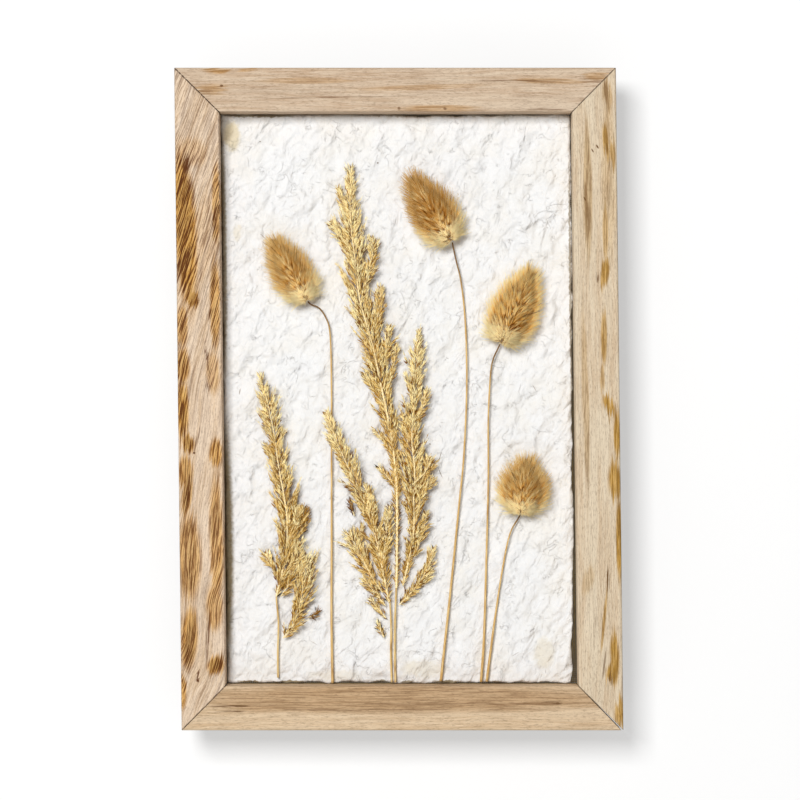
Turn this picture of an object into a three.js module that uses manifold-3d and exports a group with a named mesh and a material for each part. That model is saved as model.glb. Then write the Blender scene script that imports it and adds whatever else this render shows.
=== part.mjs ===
// A pressed flower frame: four mitred rails of raw wood round a woven screen, a sheet of handmade cotton
// paper on the screen, and on the paper four hare's-tail heads and two feathery grasses.
// Millimetres. Everything is shaped face on, as it is seen: x to the right of the frame's middle line,
// y up from its lower edge, z out from the wall. The last lines stand it up with +Z up.
import * as THREE from 'three';
import { mergeVertices } from 'three/addons/utils/BufferGeometryUtils.js';
import Module from 'manifold-3d';

// Driving dimensions
const outerWidth = 200;
const outerHeight = 300;
const railWidth = 20;
const railDepth = 16;
const touchGap = 0.3;
const openMitre = 0.9;
const leanPerHeight = Math.tan(THREE.MathUtils.degToRad(0.65));
const hangHeight = outerHeight - railWidth / 2;

// The screen lies in a rebate in the back of the rails
const rebateDepth = 2.4;
const rebateReach = 9;
const stapleSize = { length: 9, width: 1.1, thickness: 0.6 };
const screenThickness = 0.7;

// The paper, which ends short of the rails
const paperMargin = 1.3;
const paperTear = 0.9;
const paperTop = 5;
const paperRelief = 1;
const paperCell = 9;
const deckleThickness = 0.9;

// Half the opening between the rails, and the heights of its lower and upper edge
const openingHalf = outerWidth / 2 - railWidth;
const openingLow = railWidth;
const openingHigh = outerHeight - railWidth;

// Layers in depth, from the wall outwards
const screenBack = touchGap + stapleSize.thickness + touchGap / 2;
const screenFront = screenBack + screenThickness;
const paperBack = screenFront + touchGap;
const restingHeight = paperTop + touchGap;

const colours = {
  paleWood: '#dcc3a2',
  tanWood: '#be9e77',
  figuredWood: '#c49756',
  screen: '#7d705c',
  staple: '#9a9a98',
  paper: '#f3efe8',
  hareTail: '#b98245',
  straw: '#c9a266',
  grass: '#dcb766',
  darkGrass: '#8a5f2c',
};

const wasm = await Module();
wasm.setup();

// Always the same run of numbers between 0 and 1
let lastNumber = 20;
function chance() {
  lastNumber = (lastNumber * 16807) % 2147483647;
  return lastNumber / 2147483647;
}

function between(low, high) {
  return low + (high - low) * chance();
}

// A closed geometry as a solid for joining and cutting
function solidOf(geometry) {
  const bare = new THREE.BufferGeometry();
  bare.setAttribute('position', geometry.attributes.position);
  bare.setIndex(geometry.index);
  const merged = mergeVertices(bare, 1e-4);
  return new wasm.Manifold(new wasm.Mesh({
    numProp: 3,
    vertProperties: new Float32Array(merged.attributes.position.array),
    triVerts: new Uint32Array(merged.index.array),
  }));
}

function geometryOf(solid) {
  const mesh = solid.getMesh();
  const geometry = new THREE.BufferGeometry();
  geometry.setAttribute('position', new THREE.BufferAttribute(mesh.vertProperties, 3));
  geometry.setIndex(new THREE.BufferAttribute(mesh.triVerts, 1));
  return geometry;
}

// The largest surface of a mesh, so that a pocket closed in between two joined pieces is filled
function outerSkin(geometry) {
  const index = geometry.index.array;
  const skin = Array.from({ length: geometry.attributes.position.count }, (_, i) => i);
  const rootOf = (i) => {
    let root = i;
    while (skin[root] !== root) {
      root = skin[root];
    }
    skin[i] = root;
    return root;
  };
  for (let i = 0; i < index.length; i += 3) {
    skin[rootOf(index[i + 1])] = rootOf(index[i]);
    skin[rootOf(index[i + 2])] = rootOf(index[i]);
  }
  const faces = new Map();
  for (let i = 0; i < index.length; i += 3) {
    const root = rootOf(index[i]);
    faces.set(root, [...(faces.get(root) ?? []), index[i], index[i + 1], index[i + 2]]);
  }
  const largest = [...faces.values()].sort((a, b) => b.length - a.length)[0];
  geometry.setIndex(largest);
  return geometry;
}

function joined(geometries) {
  const solids = geometries.map(solidOf);
  return outerSkin(geometryOf(solids.reduce((whole, next) => whole.add(next))));
}

function block(low, high) {
  const size = high.clone().sub(low);
  const middle = low.clone().add(high).multiplyScalar(0.5);
  return new THREE.BoxGeometry(size.x, size.y, size.z).translate(middle.x, middle.y, middle.z);
}

// A value read at a fraction along an evenly spaced list
function along(values, fraction) {
  const place = THREE.MathUtils.clamp(fraction, 0, 1) * (values.length - 1);
  const step = Math.min(Math.floor(place), values.length - 2);
  return THREE.MathUtils.lerp(values[step], values[step + 1], place - step);
}

// The frame was nailed up a little out of square: its top stands to the left of its foot
const racked = new THREE.Matrix4().set(
  1, -leanPerHeight, 0, leanPerHeight * hangHeight,
  0, 1, 0, -hangHeight,
  0, 0, 1, 0,
  0, 0, 0, 1,
);

const pressedFlowerFrame = new THREE.Group();

function addPiece(name, geometry, colour, roughness = 0.8, metalness = 0) {
  geometry.applyMatrix4(racked);
  geometry.computeVertexNormals();
  const material = new THREE.MeshStandardMaterial({ color: colour, roughness, metalness });
  const piece = new THREE.Mesh(geometry, material);
  piece.name = name;
  pressedFlowerFrame.add(piece);
}

// Rails. Each outline runs round the rail face on, its mitres drawn back from the corner's diagonal
function rail(outline) {
  const shape = new THREE.Shape(outline.map(([x, y]) => new THREE.Vector2(x, y)));
  const length = new THREE.ExtrudeGeometry(shape, { depth: railDepth, bevelEnabled: false });
  const rebate = block(
    new THREE.Vector3(-openingHalf - rebateReach, openingLow - rebateReach, -1),
    new THREE.Vector3(openingHalf + rebateReach, openingHigh + rebateReach, rebateDepth),
  );
  return geometryOf(solidOf(length).subtract(solidOf(rebate)));
}

function addRails() {
  const side = outerWidth / 2;
  const back = touchGap * Math.SQRT1_2;
  addPiece('rail_left', rail([
    [-side, back], [-openingHalf, openingLow + back],
    [-openingHalf, openingHigh - back], [-side, outerHeight - back],
  ]), colours.figuredWood);
  addPiece('rail_right', rail([
    [side, back], [side, outerHeight - back],
    [openingHalf, openingHigh - back], [openingHalf, openingLow + back],
  ]), colours.paleWood);
  addPiece('rail_top', rail([
    [-side + back, outerHeight], [-openingHalf + back, openingHigh],
    [openingHalf - back, openingHigh], [side - back, outerHeight],
  ]), colours.paleWood);
  addPiece('rail_bottom', rail([
    [-side + back, 0], [side - back - openMitre, 0],
    [openingHalf - back, openingLow], [-openingHalf + back, openingLow],
  ]), colours.tanWood);
}

// Screen and the staples that hold it in the rebate
function addScreen() {
  const reach = rebateReach - touchGap;
  addPiece('screen', block(
    new THREE.Vector3(-openingHalf - reach, openingLow - reach, screenBack),
    new THREE.Vector3(openingHalf + reach, openingHigh + reach, screenFront),
  ), colours.screen, 0.6, 0.5);
}

function staple(x, y, turned) {
  const { length, width, thickness } = stapleSize;
  const size = turned ? [width, length] : [length, width];
  const z = touchGap / 2 + thickness / 2;
  return new THREE.BoxGeometry(size[0], size[1], thickness).translate(x, y, z);
}

function addStaples() {
  const inset = rebateReach / 2;
  const steel = [colours.staple, 0.35, 1];
  const acrossCount = 3;
  const upCount = 5;
  for (let i = 0; i < acrossCount; i += 1) {
    const x = openingHalf * (2 * (i + 0.5) / acrossCount - 1);
    addPiece(`staple_top_${i + 1}`, staple(x, openingHigh + inset, false), ...steel);
    addPiece(`staple_bottom_${i + 1}`, staple(x, openingLow - inset, false), ...steel);
  }
  for (let i = 0; i < upCount; i += 1) {
    const y = THREE.MathUtils.lerp(openingLow, openingHigh, (i + 0.5) / upCount);
    addPiece(`staple_left_${i + 1}`, staple(-openingHalf - inset, y, true), ...steel);
    addPiece(`staple_right_${i + 1}`, staple(openingHalf + inset, y, true), ...steel);
  }
}

// Paper: a front of low swells and ripples whose crests all reach the same height, a torn outline and a
// flat back. Swells and ripples are given by their lengths across and along the sheet, in millimetres
const swell = { across: 7, along: 9, bendAcross: 13, bendAlong: 11, bend: 1.5, share: 0.32 };
const ripple = { across: 3.1, along: 4.3, share: 0.18 };

function paperHeight(x, y) {
  const swellAcross = Math.sin(x / swell.across + Math.sin(y / swell.bendAlong) * swell.bend);
  const swellAlong = Math.sin(y / swell.along - Math.cos(x / swell.bendAcross) * swell.bend);
  const rippleAcross = Math.sin(x / ripple.across + y / ripple.along);
  const rippleAlong = Math.cos(y / ripple.across - x / ripple.along);
  const crest = swell.share * swellAcross * swellAlong + ripple.share * rippleAcross * rippleAlong;
  return paperTop - paperRelief * (swell.share + ripple.share - crest);
}

// The places round the edge of a grid of points, in order
function rimOf(columns, rows) {
  const rim = [];
  for (let i = 0; i <= columns; i += 1) {
    rim.push(i);
  }
  for (let j = 1; j <= rows; j += 1) {
    rim.push(j * (columns + 1) + columns);
  }
  for (let i = columns - 1; i >= 0; i -= 1) {
    rim.push(rows * (columns + 1) + i);
  }
  for (let j = rows - 1; j > 0; j -= 1) {
    rim.push(j * (columns + 1));
  }
  return rim;
}

function paper() {
  const width = 2 * (openingHalf - paperMargin);
  const height = openingHigh - openingLow - 2 * paperMargin;
  const columns = Math.round(width / paperCell);
  const rows = Math.round(height / paperCell);
  const middleY = (openingLow + openingHigh) / 2;
  const sheet = new THREE.PlaneGeometry(width, height, columns, rows).translate(0, middleY, 0);
  const front = sheet.attributes.position;
  const rim = rimOf(columns, rows);
  const points = [];
  for (let i = 0; i < front.count; i += 1) {
    const onRim = rim.includes(i);
    const tear = onRim ? between(-paperTear, paperTear) : 0;
    const x = front.getX(i) + Math.sign(front.getX(i)) * tear;
    const y = front.getY(i) + Math.sign(front.getY(i) - middleY) * tear;
    points.push(new THREE.Vector3(x, y, onRim ? paperBack + deckleThickness : paperHeight(x, y)));
  }
  const triangles = Array.from(sheet.index.array);
  const backStart = points.length;
  rim.forEach((index) => points.push(points[index].clone().setZ(paperBack)));
  rim.forEach((index, i) => {
    const next = (i + 1) % rim.length;
    triangles.push(index, rim[next], backStart + i);
    triangles.push(rim[next], backStart + next, backStart + i);
  });
  const outline = rim.map((index) => new THREE.Vector2(points[index].x, points[index].y));
  THREE.ShapeUtils.triangulateShape(outline, []).forEach(([a, b, c]) => {
    triangles.push(backStart + a, backStart + c, backStart + b);
  });
  const closed = new THREE.BufferGeometry().setFromPoints(points);
  closed.setIndex(triangles);
  return closed;
}

// Routes. A route is a list of [x, y, height above the paper] picked along the middle of a stem
function curveOf(route, clearance) {
  const points = route.map(([x, y, lift = 0]) => new THREE.Vector3(x, y, restingHeight + clearance + lift));
  return new THREE.CatmullRomCurve3(points, false, 'centripetal');
}

// A tube along a curve, its radius read from values along it, pressed flat where it meets the paper
function tube(curve, radii, steps, sides, flatness = 1) {
  const ring = new THREE.Shape();
  ring.absarc(0, 0, 1, 0, Math.PI * 2);
  const section = new THREE.Shape(ring.getSpacedPoints(sides).slice(0, sides));
  const geometry = new THREE.ExtrudeGeometry(section, { steps, bevelEnabled: false, extrudePath: curve });
  const centres = curve.getSpacedPoints(steps);
  const position = geometry.attributes.position;
  const point = new THREE.Vector3();
  for (let i = 0; i < position.count; i += 1) {
    point.fromBufferAttribute(position, i);
    const distances = centres.map((centre) => centre.distanceTo(point));
    const nearest = distances.indexOf(Math.min(...distances));
    const centre = centres[nearest];
    point.sub(centre).multiplyScalar(along(radii, nearest / steps));
    point.z *= flatness;
    point.add(centre);
    position.setXYZ(i, point.x, point.y, Math.max(point.z, restingHeight));
  }
  return geometry;
}

// A core some of whose faces are drawn out to a point, as locks and sprays grow from it. The point of each
// face is worked out by pointOf, which gives nothing for a face that stays as it is, as very small ones do
const leastFace = 0.4;

function drawnOut(core, pointOf) {
  const flat = core.index ? core.toNonIndexed() : core;
  const position = flat.attributes.position;
  const points = [];
  for (let i = 0; i < position.count; i += 3) {
    const [a, b, c] = [i, i + 1, i + 2].map((k) => new THREE.Vector3().fromBufferAttribute(position, k));
    const face = new THREE.Triangle(a, b, c);
    const point = face.getArea() > leastFace ? pointOf(face, i / 3) : null;
    if (point) {
      points.push(a, b, point, b, c, point, c, a, point);
    } else {
      points.push(a, b, c);
    }
  }
  return new THREE.BufferGeometry().setFromPoints(points);
}

// Room taken so far, as straight lengths with a radius, so that no two pieces run into each other
const taken = [];

function take(owner, a, b, radius) {
  taken.push({ owner, line: new THREE.Line3(a, b), radius });
}

function takeCurve(owner, curve, radius, steps) {
  const points = curve.getSpacedPoints(steps);
  points.slice(1).forEach((point, i) => take(owner, points[i], point, radius));
}

function isFree(owner, a, b, radius) {
  const line = new THREE.Line3(a, b);
  return taken.every((other) => {
    const apart = radius + other.radius + touchGap;
    return other.owner === owner || line.distanceSqToLine3(other.line) > apart * apart;
  });
}

// Hare's tails: an egg of soft hair in locks that lean to its tip, flat where it lies on the paper
const tails = [
  {
    name: 'tail_left', base: [-41, 194.5], tip: [-57.4, 224.4], width: 17.5,
    stem: [[-39.3, 192.9], [-36, 191.6], [-33, 187.4], [-31, 180], [-30.6, 158], [-30.9, 127], [-31.4, 82],
      [-31.8, 50], [-31.7, 20.6]],
  },
  {
    name: 'tail_upper', base: [25.2, 221.4], tip: [5.3, 253], width: 20.5,
    stem: [[25.6, 219.2], [27, 212.5], [28.9, 204], [30.4, 190], [31.1, 172], [30.9, 150], [29.2, 122],
      [27.2, 104], [22.7, 63.5], [17.7, 21.5]],
  },
  {
    name: 'tail_right', base: [46.4, 175], tip: [62.3, 210.4], width: 22,
    stem: [[45.2, 172.4], [43.2, 168], [41.9, 160.5], [40.7, 140], [40.4, 113], [39.1, 77], [37.6, 41],
      [36, 21]],
  },
  {
    name: 'tail_low', base: [54.9, 97.4], tip: [58.2, 124.6], width: 21.5,
    stem: [[53.6, 95.2], [49.8, 88], [46.4, 72.5], [42.7, 50], [40.4, 34], [38.6, 21.2]],
  },
];
const tailDepth = 9.4;
const tailTaper = 0.24;
const tailSides = 12;
const tailRings = 9;
const pressed = 1;
const lock = { length: 3.6, across: 0.8, along: 1.4, rise: 0.8, shortest: 0.7, longest: 1.3, lowest: 0.2 };
const lockLean = new THREE.Vector3(0.5, 0.25, 0.35);
const stemFoot = 0.72;
const stemRadii = [0.42, 0.5, stemFoot];
const stemSides = 6;
const stemSteps = 16;

// One hare's tail lying along +Y from its base at 0, with its flat side at z = 0
function hareTail(length, width) {
  const core = new THREE.SphereGeometry(1, tailSides, tailRings);
  const half = { x: width / 2 - lock.across, y: length / 2 - lock.along, z: tailDepth / 2 };
  const position = core.attributes.position;
  for (let i = 0; i < position.count; i += 1) {
    const narrowing = 1 - tailTaper * position.getY(i);
    const x = position.getX(i) * half.x * narrowing;
    const y = (position.getY(i) + 1) * half.y;
    const z = position.getZ(i) * half.z * narrowing + half.z - pressed;
    position.setXYZ(i, x, y, Math.max(z, 0));
  }
  return drawnOut(core, (face, i) => {
    const out = face.getNormal(new THREE.Vector3());
    if (i % 2 || out.z < 0) return null;
    const lean = out.multiply(lockLean);
    lean.y += lock.rise;
    const point = face.getMidpoint(new THREE.Vector3());
    point.addScaledVector(lean.normalize(), lock.length * between(lock.shortest, lock.longest));
    return point.setZ(THREE.MathUtils.clamp(point.z, lock.lowest, tailDepth));
  });
}

function addTails() {
  tails.forEach(({ name, base, tip, width, stem }) => {
    const foot = new THREE.Vector2(...base);
    const axis = new THREE.Vector2(...tip).sub(foot);
    const head = hareTail(axis.length(), width);
    head.rotateZ(axis.angle() - Math.PI / 2).translate(foot.x, foot.y, restingHeight);
    addPiece(`${name}_head`, head, colours.hareTail, 0.9);
    const curve = curveOf(stem, stemFoot);
    addPiece(`${name}_stem`, tube(curve, stemRadii, stemSteps, stemSides), colours.straw, 0.6);
    takeCurve(name, curve, stemFoot, stemSteps);
  });
}

// Grasses. A plume is a node: its branches each have a route, and how far their sprays reach sideways at
// the foot, middle and tip
const culms = [
  { name: 'grass_stem_right', route: [[-3, 20.8], [-3.1, 36], [-2.8, 50], [-2.2, 62.6]], radius: 0.55 },
  { name: 'grass_stem_left', route: [[-4.7, 20.8], [-4.9, 34], [-4.7, 45], [-5, 56]], radius: 0.5 },
  { name: 'small_grass_stem', route: [[-56.5, 23], [-56.4, 36], [-56, 48], [-56.8, 59]], radius: 0.6 },
];
const plumes = [
  {
    name: 'grass_tall_plume',
    branches: [
      {
        route: [[-2.1, 63.8, 0.8], [-1.6, 80, 1], [-1.4, 97, 1.2], [-1.6, 113, 1.4], [-3.3, 131, 1.8],
          [-5.8, 145, 2], [-8.4, 158, 2], [-12.3, 177, 2.2], [-17.2, 195, 2.2], [-19.1, 213, 2.2],
          [-20.7, 227, 1.8], [-21.2, 240, 1.2], [-20.7, 254.4, 0.8]],
        reach: [0.9, 1.7, 4.2, 5.8, 6, 3.4],
      },
      { route: [[-15.6, 201, 2.2], [-11.8, 213, 2.2], [-10.9, 223, 1.6]], reach: [2.5, 3.2, 2] },
      { route: [[-10.9, 180, 2.2], [-8.5, 192, 2.4], [-7.5, 201, 1.8]], reach: [2.5, 3.2, 2] },
      { route: [[-7.2, 163, 2], [-5.2, 174, 2.2], [-4.2, 183, 1.6]], reach: [2.4, 2.9, 1.8] },
      { route: [[-4.4, 156, 2], [-2, 166, 1.8], [-1.1, 174, 1.2]], reach: [2, 2.2, 1.6] },
      { route: [[-8.6, 151, 1.6], [-12.8, 157, 1.4], [-15.4, 161, 0.8]], reach: [1.8, 2.4, 1.6] },
      { route: [[-3.2, 125, 1.4], [-8, 132, 1.2], [-11.4, 136, 0.8]], reach: [1.2, 2.2, 1.4] },
      { route: [[-2, 110, 1.2], [-6.4, 115.6, 0.8], [-9.2, 118.8, 0.6]], reach: [1, 1.7, 1.2] },
      { route: [[-21.2, 231, 1.4], [-24.6, 240, 1.2], [-26.6, 246, 0.8]], reach: [1.6, 2.2, 1.4] },
      { route: [[-20, 216, 1.6], [-26.6, 225, 1.4], [-30, 230.6, 0.8]], reach: [1.8, 2.4, 1.4] },
    ],
  },
  {
    name: 'grass_right_plume',
    branches: [
      {
        route: [[0.9, 65, 0.8], [2.6, 72, 1], [4.4, 80, 1.4], [6.2, 91, 1.8], [6.2, 104, 2.2],
          [6.8, 118, 2.2], [5.8, 131, 2.2], [6.6, 145, 2], [7.6, 159, 1.8], [9, 175, 1.2], [9.5, 181, 0.8]],
        reach: [1.2, 5, 6.6, 5.4, 5, 2.8],
      },
      { route: [[6.4, 78, 1.4], [10.2, 90, 1.8], [12.3, 98, 1.2]], reach: [1.8, 2.6, 1.6] },
      { route: [[8.4, 109, 2], [12, 117.6, 2], [13.2, 123, 1.4]], reach: [2.6, 3.4, 2.4] },
      { route: [[4, 130, 1.8], [2.2, 138, 1.4], [1.6, 143, 0.8]], reach: [1.4, 2, 1.4] },
      { route: [[8.2, 138, 1.8], [11.4, 148, 1.6], [12.6, 154, 1]], reach: [1.8, 2.4, 1.6] },
    ],
  },
  {
    name: 'grass_right_low_spray',
    branches: [
      {
        route: [[-0.9, 56.2, 0.6], [4.2, 61.4, 0.8], [9, 67.4, 1.2], [12.8, 74.4, 1.2], [14.5, 81.4, 0.8]],
        reach: [0.9, 3.2, 4, 3.4, 2],
      },
    ],
  },
  {
    name: 'grass_left_plume',
    branches: [
      {
        route: [[-5.5, 57.3, 0.7], [-8.2, 72, 1.2], [-11.4, 88, 1.6], [-15.6, 101, 2], [-21.2, 114, 3],
          [-26, 125, 4], [-30, 135, 4.4], [-32.6, 143.4, 3.8]],
        reach: [1, 4.4, 5.4, 5, 4.6, 3.6],
      },
      {
        route: [[-8.6, 73, 1.2], [-7, 84, 1.6], [-5.8, 94, 1.4], [-4.9, 101, 0.8]],
        reach: [2.8, 4, 2.4, 1.2],
      },
      { route: [[-11.4, 90, 1.6], [-13.4, 101, 2], [-15.4, 110.6, 1.4]], reach: [2, 2.6, 1.6] },
    ],
  },
  {
    name: 'grass_dark_tuft',
    branches: [{ route: [[-20.8, 96.8, 0.8], [-21.9, 100, 1], [-22.4, 103, 0.8]], reach: [1.2, 2, 1.4] }],
    dark: true,
  },
  {
    name: 'grass_low_spray_a',
    branches: [
      {
        route: [[-8.4, 61.8, 0.6], [-13.8, 70, 1], [-18.8, 80, 1.4], [-23.2, 88.6, 0.8]],
        reach: [1.3, 4.6, 4.8, 2.4],
      },
      { route: [[-18, 80, 1.2], [-18.4, 87, 1.2], [-17.8, 92, 0.8]], reach: [1.8, 2.2, 1.4] },
    ],
  },
  {
    name: 'grass_low_spray_b',
    branches: [{ route: [[-7.1, 55.8, 0.6], [-11.4, 61.2, 0.8], [-16.6, 67.8, 0.6]], reach: [0.9, 3, 1.7] }],
  },
  {
    name: 'grass_low_spray_c',
    branches: [{ route: [[-6.9, 50.2, 0.5], [-10.5, 54.3, 0.6], [-13.6, 58.4, 0.5]], reach: [0.8, 2, 1.3] }],
  },
  {
    name: 'grass_loose_floret',
    branches: [{ route: [[-8, 41.4, 0.4], [-9.4, 44.6, 0.5], [-10.8, 47.6, 0.4]], reach: [0.8, 1.4, 0.9] }],
  },
  {
    name: 'small_grass_plume',
    branches: [
      {
        route: [[-56.9, 60, 0.7], [-54, 71, 1.6], [-52, 82, 2.2], [-51.4, 95, 2.2], [-52.8, 106, 2.2],
          [-55.2, 120, 2], [-57, 134, 1.8], [-60, 149, 1.4], [-62.9, 160, 0.8]],
        reach: [1.4, 7.6, 7.4, 4.8, 3.8, 4.2, 2.6],
      },
      { route: [[-55.4, 70, 1.2], [-58.6, 75, 1], [-60.4, 79.4, 0.8]], reach: [1.4, 2, 1.3] },
      { route: [[-56.4, 120, 1.8], [-59.6, 126, 1.4], [-60.8, 129, 1]], reach: [1.2, 1.8, 1.2] },
    ],
  },
  {
    name: 'small_grass_side_plume',
    branches: [
      {
        route: [[-54, 41, 0.6], [-49.4, 47, 1.2], [-46, 57, 1.8], [-44, 69, 1.8], [-43.2, 77, 1.2]],
        reach: [1.4, 4.2, 4, 3.2, 2.2],
      },
    ],
  },
  {
    name: 'small_grass_dark_plume',
    branches: [{ route: [[-45.8, 88, 1], [-44.4, 94.4, 1.4], [-43.6, 100.4, 1]], reach: [1.6, 2.6, 1.6] }],
    dark: true,
  },
  {
    name: 'small_grass_dark_tuft',
    branches: [{ route: [[-42.6, 50.4, 0.6], [-40, 51.4, 0.8], [-38, 53.4, 0.6]], reach: [1, 2, 1.2] }],
    dark: true,
  },
];
const culmSteps = 6;
const culmTaper = 0.8;
const core = { share: 0.55, tip: 0.3, least: 0.45, flatness: 0.8, step: 6, sides: 6, clearance: 0.5 };
const spray = {
  radius: 0.6, spare: 0.8, lowest: 0.2, underside: -0.5,
  leastAngle: 0.5, greatestAngle: 0.75,
  // towards the tip of a branch the sprays close, over this share of its length
  closing: 1 / 6, closed: 0.15,
  longest: 1.25, long: 0.85, middling: 0.6, short: 0.3,
};

function addCulms() {
  culms.forEach(({ name, route, radius }) => {
    const curve = curveOf(route, radius);
    const radii = [radius, radius, radius * culmTaper];
    addPiece(name, tube(curve, radii, culmSteps, stemSides), colours.straw, 0.6);
    takeCurve(name, curve, radius, culmSteps);
  });
}

// The core of one branch, and the room that it takes
function branchCore(owner, { route, reach }) {
  const radii = [...reach.map((width) => Math.max(core.least, core.share * width)), core.tip];
  const curve = curveOf(route, core.clearance);
  const steps = Math.max(3, Math.round(curve.getLength() / core.step));
  const points = curve.getSpacedPoints(steps);
  points.slice(1).forEach((point, i) => take(owner, points[i], point, along(radii, (i + 0.5) / steps)));
  return { owner, curve, points, radii, reach };
}

// Sprays are drawn out of a core's faces and lean to its tip, each as long as it has room for
function feathered({ owner, curve, points, radii, reach }) {
  const steps = points.length - 1;
  return drawnOut(tube(curve, radii, steps, core.sides, core.flatness), (face, i) => {
    const foot = face.getMidpoint(new THREE.Vector3());
    const distances = points.map((point) => point.distanceTo(foot));
    const nearest = distances.indexOf(Math.min(...distances));
    const out = foot.clone().sub(points[nearest]);
    const run = curve.getTangentAt(nearest / steps);
    out.addScaledVector(run, -out.dot(run)).normalize();
    if (i % 2 || out.z < spray.underside) return null;
    const angle = between(spray.leastAngle, spray.greatestAngle);
    const opened = angle * Math.min(1, (1 - nearest / steps) / spray.closing + spray.closed);
    const away = run.multiplyScalar(Math.cos(opened)).addScaledVector(out, Math.sin(opened));
    const full = (along(reach, nearest / steps) * (1 - core.share) + spray.spare) / Math.sin(angle);
    for (const share of [between(spray.long, spray.longest), spray.middling, spray.short]) {
      const point = foot.clone().addScaledVector(away, full * share);
      point.z = Math.max(point.z, restingHeight + spray.lowest);
      if (isFree(owner, foot, point, spray.radius)) {
        take(owner, foot, point, spray.radius);
        return point;
      }
    }
    return null;
  });
}

function addPlumes() {
  const cores = plumes.map(({ name, branches }) => branches.map((branch) => branchCore(name, branch)));
  plumes.forEach(({ name, dark }, i) => {
    addPiece(name, joined(cores[i].map(feathered)), dark ? colours.darkGrass : colours.grass, 0.85);
  });
}

addRails();
addScreen();
addStaples();
addPiece('paper', paper(), colours.paper, 0.95);
addTails();
addCulms();
addPlumes();

// Stood up against the wall: the front looks along -Y and the back of the rails is at y = 0
pressedFlowerFrame.rotation.x = Math.PI / 2;

export default pressedFlowerFrame;
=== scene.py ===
# A pressed flower frame: rails of raw wood round a wire screen, handmade paper on the screen and dried
# grasses on the paper. Every piece is shaped face on in millimetres (x to the right of the middle line,
# y up from the lower edge, z out from the wall) and then stood up in metres, as the frame hangs.
import math
import bpy
import bmesh
import numpy as np
from mathutils import Matrix, Vector, noise


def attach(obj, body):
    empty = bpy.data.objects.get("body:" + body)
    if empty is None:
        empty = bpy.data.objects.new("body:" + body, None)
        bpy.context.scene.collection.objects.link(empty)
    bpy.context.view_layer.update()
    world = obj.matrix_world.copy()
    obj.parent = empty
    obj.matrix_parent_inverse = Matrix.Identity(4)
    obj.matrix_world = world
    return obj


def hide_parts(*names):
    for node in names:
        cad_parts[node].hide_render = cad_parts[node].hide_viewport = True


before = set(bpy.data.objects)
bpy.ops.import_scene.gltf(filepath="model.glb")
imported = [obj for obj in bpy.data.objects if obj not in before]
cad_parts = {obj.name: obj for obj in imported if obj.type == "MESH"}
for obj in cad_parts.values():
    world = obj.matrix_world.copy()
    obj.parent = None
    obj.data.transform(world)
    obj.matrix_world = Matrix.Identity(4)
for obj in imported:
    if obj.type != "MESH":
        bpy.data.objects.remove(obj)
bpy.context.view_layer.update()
print("frame loaded with", len(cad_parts), "pieces")

faceOn = {
    "halfWidth": 100, "height": 300,
    "halfOpening": 80, "openingLow": 20, "openingHigh": 280,
    "hangHeight": 290,  # of the origin above the lower edge
    "resting": 5.3,  # what lies on the paper starts here
    "front": 15.6,  # and stays behind this
    "lean": math.tan(math.radians(0.65)),  # the top stands to the left of its foot
}
mm = 0.001
standUp = Matrix((
    (mm, -faceOn["lean"] * mm, 0, faceOn["lean"] * faceOn["hangHeight"] * mm),
    (0, 0, -mm, 0),
    (0, mm, 0, -faceOn["hangHeight"] * mm),
    (0, 0, 0, 1),
))
dice = np.random.default_rng(41)
noise.seed_set(41)  # noise_vector starts from the clock without it


# Camera, at the distance that gives the photograph's scale on the front of the rails
camera = {"lens": 135, "place": (0.00215, -1.3735, -0.14045)}
cameraData = bpy.data.cameras.new("camera")
cameraData.lens = camera["lens"]
cameraData.sensor_width = 36
cameraObject = bpy.data.objects.new("camera", cameraData)
cameraObject.location = camera["place"]
cameraObject.rotation_euler = (math.radians(90), 0, 0)
bpy.context.scene.collection.objects.link(cameraObject)
bpy.context.scene.camera = cameraObject


# Material helpers
def tone(red, green, blue):  # a screen colour, 0 to 255, as Blender's linear one
    return tuple(c / 12.92 if c <= 0.04045 else ((c + 0.055) / 1.055) ** 2.4
                 for c in (red / 255, green / 255, blue / 255)) + (1.0,)


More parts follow.
